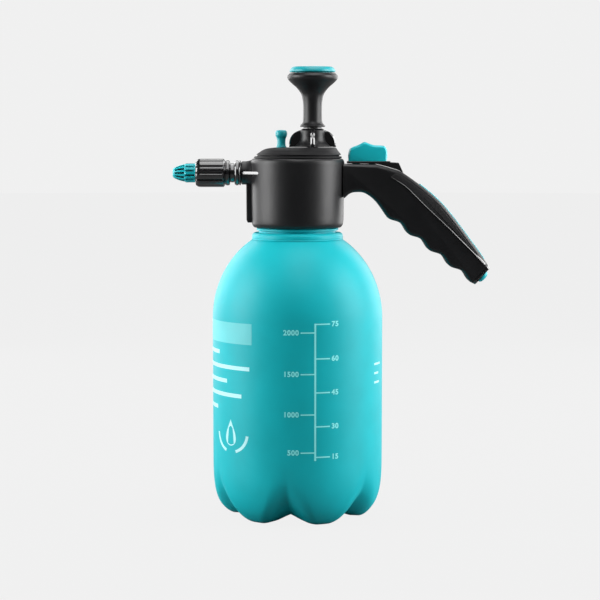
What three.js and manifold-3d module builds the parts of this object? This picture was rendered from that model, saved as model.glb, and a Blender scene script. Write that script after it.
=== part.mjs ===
// A two-litre hand-pumped compression sprayer: a blow-moulded bottle on six feet, and a screwed-on
// head that carries the air pump, the relief valve, the thumb valve, the grip and the nozzle.
// Millimetres, +Z up, nozzle towards -X, grip towards +X, standing on the plane z = 0.
import * as THREE from "three";
import { mergeVertices } from "three/addons/utils/BufferGeometryUtils.js";
import Module from "manifold-3d";

const wasm = await Module();
wasm.setup();

// ---- Driving dimensions ---------------------------------------------------------------------------
const GAP = 0.3; // clearance left between neighbouring pieces

// Bottle. Its axis is x = 0 while the parts are being made.
const BOTTLE_R = 65.5; // straight wall, outside
const WALL = 1.8;
const SHOULDER_Z = 153; // where the elliptical shoulder starts
const SHOULDER_RISE = 71; // the ellipse's vertical half axis
const COLLAR = { r: 34.6, foot: 213, top: 218.5 }; // the bead under the neck
const NECK_R = 29.8;
const NECK_BORE = 27.3;
const MOUTH_Z = 242;
const FEET = 6;
const FOOT_PHASE = THREE.MathUtils.degToRad(22.6); // one foot's direction, from -Y towards +X
const FOOT_FLAT = 0.86; // where the mix of foot and valley reaches a full foot

// Head
const HEAD_R = 36;
const HEAD_FOOT = 222.3;
const HEAD_RIM = 275;
const HEAD_BORE = 32.9;
const THREAD_BORE = 31.9;
const DECK = 244.6; // underside of the partition that closes the bottle
const DECK_TOP = DECK + 2.6;
const COVER_TOP = 283.5;
const COVER_UNDER = 278.4;
const SKIRT_FOOT = 271; // the cover's skirt reaches down to here inside the rim
const DUCT = { x: 40, half: 9.6, foot: 252.4, top: 267.4, wall: 1.4 }; // from the head into the grip

// Pump, on an axis beside the bottle's own
const PUMP_X = 11.5;
const BARREL = { r: 13, bore: 12, foot: 150, flangeR: 15.5, flangeFoot: 281.3 };
const ROD = { r: 4.2, foot: 164.8, top: 325 };
const TOWER = { r: 9.5, top: 298, finR: 18, finHalf: 1.5, finBulge: 2.8 };
const KNOB = { r: 19.4, foot: 298.4, top: 338.9, pocketR: 14, pocketFoot: 334, stemR: 7.15 };
const CAP_R = 17.6;
const TOP_Z = 345.1; // the highest point

// Relief valve
const RELIEF = { x: -12.4, tubeR: 6, tubeBore: 4.6, tubeTop: 258, stemR: 1.6, knobR: 3.9 };

// Liquid line
const HOSE = { r: 3.2, bore: 2.5 };
const NIPPLE = { r: 2, bore: 1.2 };
const DIP = { x: 2, y: 19, foot: 12 }; // the dip tube's place in plan, and the strainer's foot
const HOSE_Z = 258.2; // height of the hoses where they pass into the grip
const HOSE_Y = 4.2; // and their distance to either side of the middle

// Thumb valve and trigger
const VALVE = { x: 57, r: 6.5, bore: 4.5, foot: 252.3, floor: 253.8, roof: 260.7, top: 262.5 };
const STEM_R = 2;
const PIN = { x: 45, z: 268, r: 1.5, half: 11.2 };
const TRIGGER_HALF = 7; // half the width of the thumb pad
const SLOT = { front: 38.8, back: 70.2, half: 7.4 }; // the opening that the pad sinks into

// Nozzle, on a level axis
const NOZZLE_Z = 264;
const SPOUT = { r: 6, bore: 1.6, back: -24.5, front: -60 };
const SLEEVE = { r: 10.85, groove: 9.9, back: -51.9, front: -78.2, ribs: 12 };
const TIP = { front: -95.7, step: -85.9, skirt: -66, r: 7.3 };

// Grip
const GRIP_HALF = 12.5; // half its width
const GRIP_EDGE = 3.2; // rounding of its edges
const GRIP_WALL = 2.4;
const FINGERS = 4;
const FINGER_DEPTH = 2.7;
const GRIP_END = { top: new THREE.Vector2(147.2, 191.8), low: new THREE.Vector2(135.8, 179) };
const END_CAP_THICK = 2.4;
// The inlay lies along the back edge between two places of its curve.
const INLAY = { from: 0.48, to: 0.93, half: 5, depth: 1.5, proud: 0.8 };
const SCREW = { r: 1.4, headR: 2.9, bossR: 3.8 };
const SCREW_PLACES = [
  [73, 249],
  [99, 230],
  [127, 202],
];

// ---- Materials ------------------------------------------------------------------------------------
const plastic = (color, roughness) =>
  new THREE.MeshStandardMaterial({ color, roughness, metalness: 0 });
const TEAL = plastic(0x18a8b6, 0.5);
const CYAN = plastic(0x22c8d4, 0.4);
const BLACK = plastic(0x26272a, 0.6);
const NATURAL = plastic(0xd9dcd8, 0.5);
const RUBBER = plastic(0x161616, 0.85);
const STEEL = new THREE.MeshStandardMaterial({ color: 0xb9bcc0, roughness: 0.3, metalness: 1 });

// ---- Solids: making, joining and cutting ----------------------------------------------------------
function solid(shape) {
  if (shape instanceof wasm.Manifold) return shape;
  const plain = shape.clone();
  plain.deleteAttribute("normal");
  plain.deleteAttribute("uv");
  const merged = mergeVertices(plain, 1e-4);
  return new wasm.Manifold(
    new wasm.Mesh({
      numProp: 3,
      vertProperties: merged.attributes.position.array,
      triVerts: new Uint32Array(merged.index.array),
    }),
  );
}

function geometryOf(manifold) {
  const mesh = manifold.getMesh();
  return new THREE.BufferGeometry()
    .setAttribute("position", new THREE.BufferAttribute(mesh.vertProperties, 3))
    .setIndex(new THREE.BufferAttribute(mesh.triVerts, 1));
}

// The base shape with others added, and then the cutters taken away.
function shaped(base, added, cutters = []) {
  let made = solid(base);
  for (const part of added) made = made.add(solid(part));
  for (const cutter of cutters) made = made.subtract(solid(cutter));
  return made;
}

const common = (a, b) => solid(a).intersect(solid(b));

// A profile of [radius, height] pairs turned about Z, from the axis up to the axis.
function lathe(profile, segments = 20) {
  const points = profile.map(([r, z]) => new THREE.Vector2(r, z));
  return new THREE.LatheGeometry(points, segments).rotateX(Math.PI / 2);
}

// A lathe whose rings may lie off its axis: a third number in the profile moves a ring along X.
function leaningLathe(profile, segments) {
  const geometry = lathe(profile, segments);
  const position = geometry.attributes.position;
  for (let i = 0; i < position.count; i++) {
    const [, , over = 0] = profile[i % profile.length];
    position.setX(i, position.getX(i) + over);
  }
  return geometry;
}

// A ring's profile: its last point joins its first.
const ringLathe = (profile, segments) => lathe([...profile, profile[0]], segments);

const rod = (r, z0, z1, segments) => lathe([[0, z0], [r, z0], [r, z1], [0, z1]], segments);

const ring = (inner, outer, z0, z1, segments) =>
  ringLathe([[inner, z0], [outer, z0], [outer, z1], [inner, z1]], segments);

// A turned shape laid along X, so that its heights become x.
const alongX = (geometry) => geometry.rotateY(Math.PI / 2);
const rodY = (r, y0, y1, segments) => rod(r, -y1, -y0, segments).rotateX(Math.PI / 2);

function box(x0, x1, y0, y1, z0, z1) {
  return new THREE.BoxGeometry(x1 - x0, y1 - y0, z1 - z0).translate(
    (x0 + x1) / 2,
    (y0 + y1) / 2,
    (z0 + z1) / 2,
  );
}

const vectors = (pairs) => pairs.map(([x, z]) => new THREE.Vector2(x, z));

// An outline in the XZ plane, as thick as half to either side of y = 0, with rounded edges.
function plate(outline, half, edge = 0) {
  const depth = 2 * (half - edge);
  return new THREE.ExtrudeGeometry(new THREE.Shape(outline), {
    depth,
    bevelEnabled: edge > 0,
    bevelThickness: edge,
    bevelSize: edge,
    bevelOffset: -edge,
    bevelSegments: 3,
  })
    .translate(0, 0, -depth / 2)
    .rotateX(Math.PI / 2);
}

// A round section swept along a curve, hollow when it has a bore.
function sweep(curve, outer, bore, steps, curveSegments) {
  const section = new THREE.Shape().absarc(0, 0, outer, 0, 2 * Math.PI);
  if (bore) section.holes.push(new THREE.Path().absarc(0, 0, bore, 0, 2 * Math.PI, true));
  return new THREE.ExtrudeGeometry(section, { steps, curveSegments, extrudePath: curve });
}

const hose = (points, steps) =>
  sweep(
    new THREE.CatmullRomCurve3(points.map((p) => new THREE.Vector3(...p))),
    HOSE.r,
    HOSE.bore,
    steps,
    4,
  );

// A round-wire spring from z0 to z1, with the middle of its wire on radius r.
function spring(r, wire, z0, z1, turns) {
  class Helix extends THREE.Curve {
    getPoint(t, target = new THREE.Vector3()) {
      const a = 2 * Math.PI * turns * t;
      return target.set(r * Math.cos(a), r * Math.sin(a), z0 + wire + (z1 - z0 - 2 * wire) * t);
    }
  }
  return sweep(new Helix(), wire, 0, turns * 8, 3);
}

// Draws every other column of a lathe in to the groove's radius, where it is further out than that.
function ribbed(geometry, columns, groove) {
  const position = geometry.attributes.position;
  const perColumn = position.count / (columns + 1);
  for (let i = 0; i < position.count; i++) {
    const [x, y] = [position.getX(i), position.getY(i)];
    const r = Math.hypot(x, y);
    if (Math.floor(i / perColumn) % 2 === 0 || r <= groove) continue;
    position.setXY(i, (x * groove) / r, (y * groove) / r);
  }
  return geometry;
}

const sprayer = new THREE.Group();

function add(name, shape, material) {
  const geometry = shape instanceof wasm.Manifold ? geometryOf(shape) : shape;
  const mesh = new THREE.Mesh(geometry, material);
  mesh.name = name;
  sprayer.add(mesh);
  return mesh;
}

// ---- Bottle ---------------------------------------------------------------------------------------
// The base mixes two profiles with the same number of points: one through the middle of a foot, and
// one along the crease between two feet.
const FOOT_PROFILE = [
  [0, 9], [16, 8.4], [30, 5.2], [38, 1.6], [43, 0], [49, 0], [54.5, 3], [59.5, 9], [62.6, 16],
  [64.4, 25], [65.3, 37], [BOTTLE_R, 60],
];
const VALLEY_PROFILE = [
  [0, 9], [16, 8.2], [29, 6.8], [36, 6.2], [41, 6.8], [45.5, 9.5], [49.8, 14], [53.9, 20.5],
  [58, 28.2], [61.6, 36.5], [64.4, 46], [BOTTLE_R, 60],
];

// A profile moved inwards by the wall's thickness, for the inner face.
function inset(profile, by) {
  return profile.map(([r, z], i) => {
    if (i === 0) return [0, z + by];
    const [ra, za] = profile[i - 1];
    const [rb, zb] = profile[Math.min(i + 1, profile.length - 1)];
    const length = Math.hypot(rb - ra, zb - za);
    return [r - (by * (zb - za)) / length, z + (by * (rb - ra)) / length];
  });
}

function shoulder(wall) {
  const rises = [0, 0.25, 0.45, 0.6, 0.72, 0.8, 0.845];
  return rises.map((s) => [BOTTLE_R * Math.sqrt(1 - s * s) - wall, SHOULDER_Z + s * SHOULDER_RISE]);
}

function bottle() {
  const upper = [
    ...shoulder(0),
    [COLLAR.r + 0.6, COLLAR.foot + 1.2],
    [COLLAR.r, COLLAR.top - 1],
    [COLLAR.r - 1, COLLAR.top],
    [NECK_R, COLLAR.top],
    [NECK_R, MOUTH_Z],
    [NECK_BORE, MOUTH_Z],
    [NECK_BORE, COLLAR.top - 4],
    ...shoulder(WALL).reverse(),
  ];
  const foot = [...FOOT_PROFILE, ...upper, ...inset(FOOT_PROFILE, WALL).reverse()];
  const valley = [...VALLEY_PROFILE, ...upper, ...inset(VALLEY_PROFILE, WALL).reverse()];
  const columns = 6 * FEET;
  const geometry = lathe(foot, columns);
  const position = geometry.attributes.position;
  for (let i = 0; i < position.count; i++) {
    const column = Math.floor(i / foot.length) % columns;
    const turn = (2 * Math.PI * column) / columns;
    const mix = Math.min(1, Math.abs(Math.cos((FEET / 2) * turn)) / FOOT_FLAT);
    const [rFoot, zFoot] = foot[i % foot.length];
    const [rValley, zValley] = valley[i % foot.length];
    const r = rValley + (rFoot - rValley) * mix;
    const angle = turn + FOOT_PHASE;
    position.setXYZ(i, r * Math.sin(angle), -r * Math.cos(angle), zValley + (zFoot - zValley) * mix);
  }
  return geometry;
}
add("bottle", bottle(), TEAL);

// ---- Head -----------------------------------------------------------------------------------------
add("neck_gasket", ring(NECK_BORE - 0.5, NECK_R + 0.8, MOUTH_Z + GAP, DECK - GAP, 24), RUBBER);

function headBody() {
  const shell = lathe(
    [
      [0, DECK],
      [THREAD_BORE, DECK],
      [THREAD_BORE, HEAD_FOOT + 1],
      [THREAD_BORE + 0.8, HEAD_FOOT],
      [HEAD_R - 2.4, HEAD_FOOT + 0.4],
      [HEAD_R - 1, HEAD_FOOT + 2.4],
      [HEAD_R - 0.6, HEAD_FOOT + 6],
      [HEAD_R, HEAD_RIM - 3],
      [HEAD_R - 0.7, HEAD_RIM - 0.9],
      [HEAD_R - 2.1, HEAD_RIM],
      [HEAD_BORE, HEAD_RIM],
      [HEAD_BORE, DECK_TOP],
      [0, DECK_TOP],
    ],
    36,
  );
  const boss = [[0, -43.2], [8.9, -43.2], [8.9, -38.5], [10.4, -34], [0, -34]];
  const frontRib = vectors([[-34, 226], [-38.2, 226], [-39.2, 228], [-39.4, 258], [-34, 258]]);
  const { half, wall } = DUCT;
  return shaped(
    shell,
    [
      alongX(lathe(boss)).translate(0, 0, NOZZLE_Z),
      plate(frontRib, 3.5),
      box(33, DUCT.x, -half, half, DUCT.foot, DUCT.top),
      rod(RELIEF.tubeR, DECK_TOP - 1, RELIEF.tubeTop, 16).translate(RELIEF.x, 0, 0),
      rod(NIPPLE.r, DECK - 8, DECK_TOP + 4.6, 10).translate(DIP.x, DIP.y, 0),
    ],
    [
      alongX(rod(SPOUT.r + GAP, -45, -28, 20)).translate(0, 0, NOZZLE_Z),
      box(28, DUCT.x + 1, wall - half, half - wall, DUCT.foot + wall, DUCT.top - wall),
      rod(BARREL.r + GAP, DECK - 1, DECK_TOP + 1, 32).translate(PUMP_X, 0, 0),
      rod(RELIEF.tubeBore, DECK_TOP, RELIEF.tubeTop + 1, 16).translate(RELIEF.x, 0, 0),
      rod(NIPPLE.r, DECK - 1, DECK_TOP + 1, 12).translate(RELIEF.x, 0, 0),
      rod(NIPPLE.bore, DECK - 9, DECK_TOP + 6, 8).translate(DIP.x, DIP.y, 0),
    ],
  );
}
add("head_body", headBody(), BLACK);

// The cover leans: its flat top is centred nearer the pump than its rim is.
function headCover() {
  const dome = leaningLathe(
    [
      [0, COVER_UNDER],
      [28, COVER_UNDER, 0.8],
      [30.2, COVER_UNDER - 2],
      [30.2, SKIRT_FOOT],
      [HEAD_BORE - GAP, SKIRT_FOOT],
      [HEAD_BORE - GAP, HEAD_RIM + GAP],
      [33.6, HEAD_RIM + GAP],
      [32.6, 277.5, 0.9],
      [30.4, 280, 1.6],
      [29, 281.3, 2.2],
      [27.1, 282.5, 3.1],
      [25.1, 283.1, 4.5],
      [22.6, COVER_TOP, 6.2],
      [0, COVER_TOP, 6.2],
    ],
    36,
  );
  const seat = BARREL.flangeFoot - GAP;
  return shaped(
    dome,
    [],
    [
      rod(BARREL.r + GAP, COVER_UNDER - 1, COVER_TOP + 1, 32).translate(PUMP_X, 0, 0),
      rod(BARREL.flangeR + GAP, seat, COVER_TOP + 1, 32).translate(PUMP_X, 0, 0),
      rod(RELIEF.knobR + GAP, COVER_UNDER - 1, COVER_TOP + 1, 20).translate(RELIEF.x, 0, 0),
    ],
  );
}
add("head_cover", headCover(), BLACK);

// ---- Pump -----------------------------------------------------------------------------------------
function onPumpAxis(name, geometry, material) {
  add(name, geometry, material).position.x = PUMP_X;
}

function pumpNut() {
  const foot = COVER_TOP + GAP;
  const bore = ROD.r + GAP;
  const tower = ringLathe([
    [bore, foot],
    [13.4, foot],
    [13.4, foot + 1.4],
    [10.4, foot + 3.4],
    [TOWER.r, foot + 6],
    [TOWER.r, TOWER.top - 1.6],
    [TOWER.r - 2.2, TOWER.top],
    [bore, TOWER.top],
  ]);
  // A fin's edge is a quarter of a superellipse, from the cover up to the top of the tower.
  const arc = Array.from({ length: 10 }, (_, i) => {
    const a = (Math.PI * i) / 18;
    const r = TOWER.finR * Math.cos(a) ** (2 / TOWER.finBulge);
    const rise = (TOWER.top - foot - 0.5) * Math.sin(a) ** (2 / TOWER.finBulge);
    return new THREE.Vector2(Math.max(r, TOWER.r - 1), foot + rise);
  });
  const outline = [...arc, ...arc.map((p) => new THREE.Vector2(-p.x, p.y)).reverse()];
  const fins = plate(outline, TOWER.finHalf);
  return shaped(
    tower,
    [fins, fins.clone().rotateZ(Math.PI / 2)],
    [rod(bore, foot - 1, TOWER.top + 1)],
  );
}
onPumpAxis("pump_nut", pumpNut(), BLACK);

function pumpBarrel() {
  const flangeTop = COVER_TOP;
  const tube = lathe([
    [0, BARREL.foot],
    [BARREL.r, BARREL.foot],
    [BARREL.r, BARREL.flangeFoot],
    [BARREL.flangeR, BARREL.flangeFoot],
    [BARREL.flangeR, flangeTop],
    [BARREL.bore, flangeTop],
    [BARREL.bore, BARREL.foot + 2],
    [0, BARREL.foot + 2],
  ]);
  const holes = [0, 1, 2, 3].map((k) =>
    rod(0.9, BARREL.foot - 1, BARREL.foot + 3, 8).translate(4, 0, 0).rotateZ((k * Math.PI) / 2),
  );
  return shaped(tube, [], [rod(2.1, BARREL.foot - 1, BARREL.foot + 3, 12), ...holes]);
}
onPumpAxis("pump_barrel", pumpBarrel(), NATURAL);
onPumpAxis("barrel_seal", ring(BARREL.r + GAP, 16, DECK_TOP + GAP, DECK_TOP + 2.3), RUBBER);
onPumpAxis("rod_bush", ring(ROD.r + GAP, BARREL.bore - GAP, 274, COVER_TOP - 0.5), NATURAL);

const checkValve = [
  [0, BARREL.foot - 2.3], [4, BARREL.foot - 2.1], [6.4, BARREL.foot - 1.2],
  [6.4, BARREL.foot - GAP], [1.7, BARREL.foot - GAP], [1.7, BARREL.foot + 3], [0, BARREL.foot + 3.6],
];
onPumpAxis("check_valve", lathe(checkValve, 20), RUBBER);

const PISTON_FOOT = BARREL.foot + 5;
const PISTON_TOP = ROD.foot - GAP;
const piston = [
  [0, PISTON_FOOT], [11.3, PISTON_FOOT], [11.3, PISTON_FOOT + 2.5], [9.2, PISTON_FOOT + 2.5],
  [9.2, PISTON_TOP - 2.5], [11.3, PISTON_TOP - 2.5], [11.3, PISTON_TOP], [0, PISTON_TOP],
];
onPumpAxis("piston", lathe(piston), NATURAL);
const sealFoot = PISTON_FOOT + 2.5 + GAP;
onPumpAxis("piston_seal", ring(9.2 + GAP, 11.6, sealFoot, PISTON_TOP - 2.5 - GAP), RUBBER);
onPumpAxis("pump_rod", rod(ROD.r, ROD.foot, ROD.top, 20), NATURAL);

const knob = [
  [0, ROD.top + GAP], [ROD.r + GAP, ROD.top + GAP], [ROD.r + GAP, KNOB.foot],
  [7, KNOB.foot], [7, KNOB.foot + 0.7], [9.6, KNOB.foot + 0.7], [9.6, KNOB.foot + 1.9],
  [8.2, KNOB.foot + 3], [KNOB.stemR, KNOB.foot + 4.8], [KNOB.stemR + 0.2, 318], [8.3, 323],
  [10, 326.3], [12.4, 329.2], [14.9, 331.4], [17.2, 333.5], [18.8, 335.3],
  [KNOB.r, 337], [KNOB.r - 0.5, KNOB.top], [KNOB.pocketR, KNOB.top],
  [KNOB.pocketR, KNOB.pocketFoot], [0, KNOB.pocketFoot],
];
onPumpAxis("pump_knob", lathe(knob, 24), BLACK);

const knobCap = [
  [0, KNOB.pocketFoot + GAP], [KNOB.pocketR - GAP, KNOB.pocketFoot + GAP],
  [KNOB.pocketR - GAP, KNOB.top + GAP], [CAP_R, KNOB.top + GAP], [CAP_R, TOP_Z - 4.3],
  [CAP_R - 1, TOP_Z - 1.9], [CAP_R - 2.6, TOP_Z - 0.4], [CAP_R - 6, TOP_Z], [0, TOP_Z],
];
onPumpAxis("knob_cap", lathe(knobCap, 24), CYAN);

// ---- Relief valve ---------------------------------------------------------------------------------
function onReliefAxis(name, geometry, material) {
  add(name, geometry, material).position.x = RELIEF.x;
}
const SEAL_TOP = DECK_TOP + GAP + 2;
const reliefStem = [
  [0, SEAL_TOP + GAP], [4, SEAL_TOP + GAP], [4, SEAL_TOP + 1.4], [RELIEF.stemR, SEAL_TOP + 1.4],
  [RELIEF.stemR, 276], [RELIEF.knobR, 276], [RELIEF.knobR, 284], [3.6, 288], [RELIEF.knobR, 291],
  [4.5, 292.6], [4.6, 295.4], [4, 296.5], [0, 296.9],
];
onReliefAxis("relief_valve_stem", lathe(reliefStem, 20), CYAN);
onReliefAxis("relief_valve_seal", rod(4.1, DECK_TOP + GAP, SEAL_TOP, 16), RUBBER);
const RELIEF_SPRING = { foot: SEAL_TOP + 1.4 + GAP, top: RELIEF.tubeTop - GAP };
const reliefSpring = spring(3, 0.35, RELIEF_SPRING.foot, RELIEF_SPRING.top, 3);
onReliefAxis("relief_valve_spring", reliefSpring, STEEL);
const guideFoot = RELIEF.tubeTop + GAP;
const reliefGuide = ring(RELIEF.stemR + GAP, RELIEF.tubeR, guideFoot, guideFoot + 2, 16);
onReliefAxis("relief_valve_guide", reliefGuide, NATURAL);

// ---- Liquid line ----------------------------------------------------------------------------------
add("dip_tube", ring(HOSE.bore, HOSE.r, DIP.foot + 4, DECK - GAP, 16), NATURAL);
sprayer.getObjectByName("dip_tube").position.set(DIP.x, DIP.y, 0);

function strainer() {
  const cup = lathe([
    [0, DIP.foot], [4.6, DIP.foot], [5.2, DIP.foot + 0.8], [5.2, DIP.foot + 17],
    [HOSE.r + GAP, DIP.foot + 17], [HOSE.r + GAP, DIP.foot + 2], [0, DIP.foot + 2],
  ], 16);
  const slot = box(-6, 6, -0.6, 0.6, DIP.foot - 1, DIP.foot + 8);
  return shaped(cup, [], [slot, slot.clone().rotateZ(Math.PI / 2)]);
}
add("strainer", strainer(), NATURAL).position.set(DIP.x, DIP.y, 0);

const supply = [
  [DIP.x, DIP.y, DECK_TOP + GAP], [DIP.x, DIP.y, 250], [DIP.x, DIP.y, 252.4], [6, 19.4, 256.8],
  [14, 18.6, 258], [22.5, 14.2, HOSE_Z], [27, 8.1, HOSE_Z], [31.5, 4.6, HOSE_Z],
  [36.5, HOSE_Y + 0.1, HOSE_Z], [41, HOSE_Y, HOSE_Z], [46, HOSE_Y, HOSE_Z], [50, HOSE_Y, HOSE_Z],
];
add("supply_hose", hose(supply, 22), NATURAL);

const delivery = [
  [50, -HOSE_Y, HOSE_Z], [46, -HOSE_Y, HOSE_Z], [41, -HOSE_Y, HOSE_Z],
  [36.5, -HOSE_Y - 0.1, HOSE_Z], [31.5, -4.6, 258.5], [27, -8.1, 258.9], [22.5, -14.2, 259.4],
  [12, -18.6, 261],
  [-1, -15.6, 263.2], [-10, -8.2, NOZZLE_Z], [-17.5, -2.6, NOZZLE_Z], [-23, -0.2, NOZZLE_Z],
  [-26, 0, NOZZLE_Z], [-29.2, 0, NOZZLE_Z],
];
add("delivery_hose", hose(delivery, 28), NATURAL);

// ---- Thumb valve ----------------------------------------------------------------------------------
function valveBody() {
  const cup = ringLathe([
    [0, VALVE.foot], [VALVE.r, VALVE.foot], [VALVE.r, VALVE.top], [STEM_R + GAP, VALVE.top],
    [STEM_R + GAP, VALVE.roof], [VALVE.bore, VALVE.roof], [VALVE.bore, VALVE.floor],
    [0, VALVE.floor],
  ]);
  const nipples = [-1, 1].map((side) =>
    alongX(rod(NIPPLE.r, -11, -4, 10)).translate(0, side * HOSE_Y, HOSE_Z),
  );
  const bores = [-1, 1].map((side) =>
    alongX(rod(NIPPLE.bore, -12, -1, 8)).translate(0, side * HOSE_Y, HOSE_Z),
  );
  return shaped(cup, nipples, [...bores, rod(VALVE.bore, VALVE.floor, VALVE.roof)]);
}
add("valve_body", valveBody(), BLACK).position.x = VALVE.x;

const DISC_FOOT = 258;
const valveStem = [
  [0, DISC_FOOT], [4, DISC_FOOT], [4, DISC_FOOT + 1], [STEM_R, DISC_FOOT + 1], [STEM_R, 265.6],
  [STEM_R - 0.6, 266.2], [0, 266.2],
];
add("valve_stem", lathe(valveStem, 16), NATURAL).position.x = VALVE.x;
const valveSeal = ring(STEM_R + GAP, 4, DISC_FOOT + 1 + GAP, VALVE.roof - GAP, 16);
add("valve_seal", valveSeal, RUBBER).position.x = VALVE.x;
const valveSpring = spring(3.2, 0.35, VALVE.floor + GAP, DISC_FOOT - GAP, 3);
add("valve_spring", valveSpring, STEEL).position.x = VALVE.x;

// ---- Grip -----------------------------------------------------------------------------------------
const BACK = new THREE.SplineCurve(
  vectors([[60, 270.7], [71, 267.8], [83, 262.6], [109.5, 241.3], [134, 210.4]]).concat(GRIP_END.top),
);
const RIDGE_LOW = new THREE.Vector2(132.1, 180.9);
const RIDGE_HIGH = new THREE.Vector2(69, 229.8);
// The underside, up from the highest ridge and down again to a lip against the head.
const ARCH = new THREE.SplineCurve(
  [RIDGE_HIGH].concat(vectors([[60.1, 242], [51.6, 248.6], [44.6, 249.5], [39.8, 248], [36.4, 242.6]])),
);

// The inward normal at a point of a curve that runs clockwise round the outline.
const inward = (tangent) => new THREE.Vector2(tangent.y, -tangent.x);

function alongCurve(curve, count, by) {
  const steps = Array.from({ length: count + 1 }, (_, i) => i / count);
  return steps.map((t) => curve.getPoint(t).addScaledVector(inward(curve.getTangent(t)), by));
}

// The finger side, from the lowest ridge to the highest: ridges on a straight line, with a groove
// between each two. Inside the wall it is one flat, clear of the grooves.
const FINGER_NORMAL = inward(RIDGE_HIGH.clone().sub(RIDGE_LOW).normalize());

function fingerSide(by) {
  if (by) return [RIDGE_LOW.clone().addScaledVector(FINGER_NORMAL, by + FINGER_DEPTH)];
  const steps = 6 * FINGERS;
  return Array.from({ length: steps }, (_, i) => {
    const groove = FINGER_DEPTH * Math.sin((Math.PI * i * FINGERS) / steps) ** 2;
    return RIDGE_LOW.clone().lerp(RIDGE_HIGH, i / steps).addScaledVector(FINGER_NORMAL, groove);
  });
}

// The grip's side view, moved inwards by the given distance. It starts inside the head's cylinder,
// and the inside of its wall has a level floor above the lip.
const ROOT_X = 28;
function gripOutline(by) {
  const root = [ROOT_X, by ? 251.6 : 238];
  return [
    new THREE.Vector2(ROOT_X, 271.1 - by),
    ...alongCurve(BACK, 14, by),
    GRIP_END.low.clone().addScaledVector(FINGER_NORMAL, by ? by + FINGER_DEPTH : 0),
    ...fingerSide(by),
    ...alongCurve(ARCH, 10, by).filter((p) => by === 0 || p.x > 41),
    new THREE.Vector2(...root),
  ];
}

const END_TILT = Math.atan2(GRIP_END.top.x - GRIP_END.low.x, GRIP_END.top.y - GRIP_END.low.y);
const END_MIDDLE = GRIP_END.top.clone().lerp(GRIP_END.low, 0.5);

// Puts a shape made along +X from the origin on the middle of the grip's end face.
const onEndFace = (geometry) =>
  geometry.rotateY(END_TILT).translate(END_MIDDLE.x, 0, END_MIDDLE.y);

// Everything past a plane that lies the given depth inside the end face.
const pastEnd = (depth) => onEndFace(box(-depth, 40, -40, 40, -40, 40));

// The strip that follows the back edge between two places along it.
function backStrip(from, to, inner, outer, half, edge) {
  const places = Array.from({ length: 11 }, (_, i) => from + ((to - from) * i) / 10);
  const side = (by) =>
    places.map((t) => BACK.getPoint(t).addScaledVector(inward(BACK.getTangent(t)), by));
  return plate([...side(-outer), ...side(inner).reverse()], half, edge);
}

function gripShell(side) {
  const half = box(0, 200, GAP / 2, 30, 150, 300);
  if (side < 0) half.translate(0, -30 - GAP / 2, 0);
  const bosses = SCREW_PLACES.map(([x, z]) => rodY(SCREW.bossR, -11.5, 11.5, 12).translate(x, 0, z));
  const screwHoles = SCREW_PLACES.flatMap(([x, z]) => [
    rodY(SCREW.r + GAP, -9.4, 14, 10).translate(x, 0, z),
    rodY(SCREW.headR + GAP, 9.6, 14, 14).translate(x, 0, z),
  ]);
  const hollowed = shaped(
    plate(gripOutline(0), GRIP_HALF, GRIP_EDGE),
    [],
    [plate(gripOutline(GRIP_WALL), GRIP_HALF - GRIP_WALL, 2)],
  );
  const whole = shaped(hollowed, bosses, [
    rod(HEAD_R + 1, 230, 290, 48),
    box(SLOT.front, SLOT.back, -SLOT.half, SLOT.half, 263, 280),
    backStrip(INLAY.from - 0.01, INLAY.to + 0.01, INLAY.depth + GAP, 3, INLAY.half + GAP, 0),
    pastEnd(END_CAP_THICK + GAP),
    rodY(PIN.r + GAP, -PIN.half - GAP, PIN.half + GAP, 12).translate(PIN.x, 0, PIN.z),
    ...screwHoles,
  ]);
  return common(whole, half);
}
add("grip_shell_left", gripShell(-1), BLACK);
add("grip_shell_right", gripShell(1), BLACK);
add("grip_inlay", backStrip(INLAY.from, INLAY.to, INLAY.depth, INLAY.proud, INLAY.half, 0.4), CYAN);

const grip = plate(gripOutline(0), GRIP_HALF, GRIP_EDGE);
const capBody = common(grip, pastEnd(END_CAP_THICK));
add("grip_end_cap", shaped(capBody, [], [onEndFace(alongX(rod(2.3, -6, 6, 12)))]), BLACK);
const plug = lathe([[0, -4], [2, -4], [2, GAP], [4.2, GAP], [4.2, 1.6], [3.2, 3.2], [0, 3.9]], 16);
add("end_plug", onEndFace(alongX(plug)), CYAN);

SCREW_PLACES.forEach(([x, z], i) => {
  const profile = [
    [0, -11.7], [SCREW.headR, -11.7], [SCREW.headR, -9.9], [SCREW.r, -9.9], [SCREW.r, 8.8],
    [0, 9.1],
  ];
  const screw = lathe(profile, 12).rotateX(Math.PI / 2);
  add(`grip_screw_${i + 1}`, screw, STEEL).position.set(x, 0, z);
});

// ---- Trigger --------------------------------------------------------------------------------------
function thumbTrigger() {
  const pad = vectors([
    [39.2, 272.2], [39.2, 278.1], [40.1, 281.2], [42, 283.1], [46.7, 284.9], [51.7, 287.3],
    [55, 286], [58.9, 284.7], [65.1, 284.4], [67.3, 283.2], [68.3, 279.9], [68.2, 274.1],
    [67.6, 272.2],
  ]);
  return shaped(
    plate(pad, TRIGGER_HALF, 1.5),
    [
      rodY(3.2, -4, 4, 16).translate(PIN.x, 0, PIN.z),
      box(PIN.x - 3, PIN.x + 3, -4, 4, PIN.z, 274),
      box(VALVE.x - 2.5, VALVE.x + 2.5, -3, 3, 266.5, 274),
    ],
    [rodY(PIN.r + GAP, -5, 5, 14).translate(PIN.x, 0, PIN.z)],
  );
}
add("thumb_trigger", thumbTrigger(), CYAN);
add("trigger_pin", rodY(PIN.r, -PIN.half, PIN.half, 12).translate(PIN.x, 0, PIN.z), STEEL);

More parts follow.
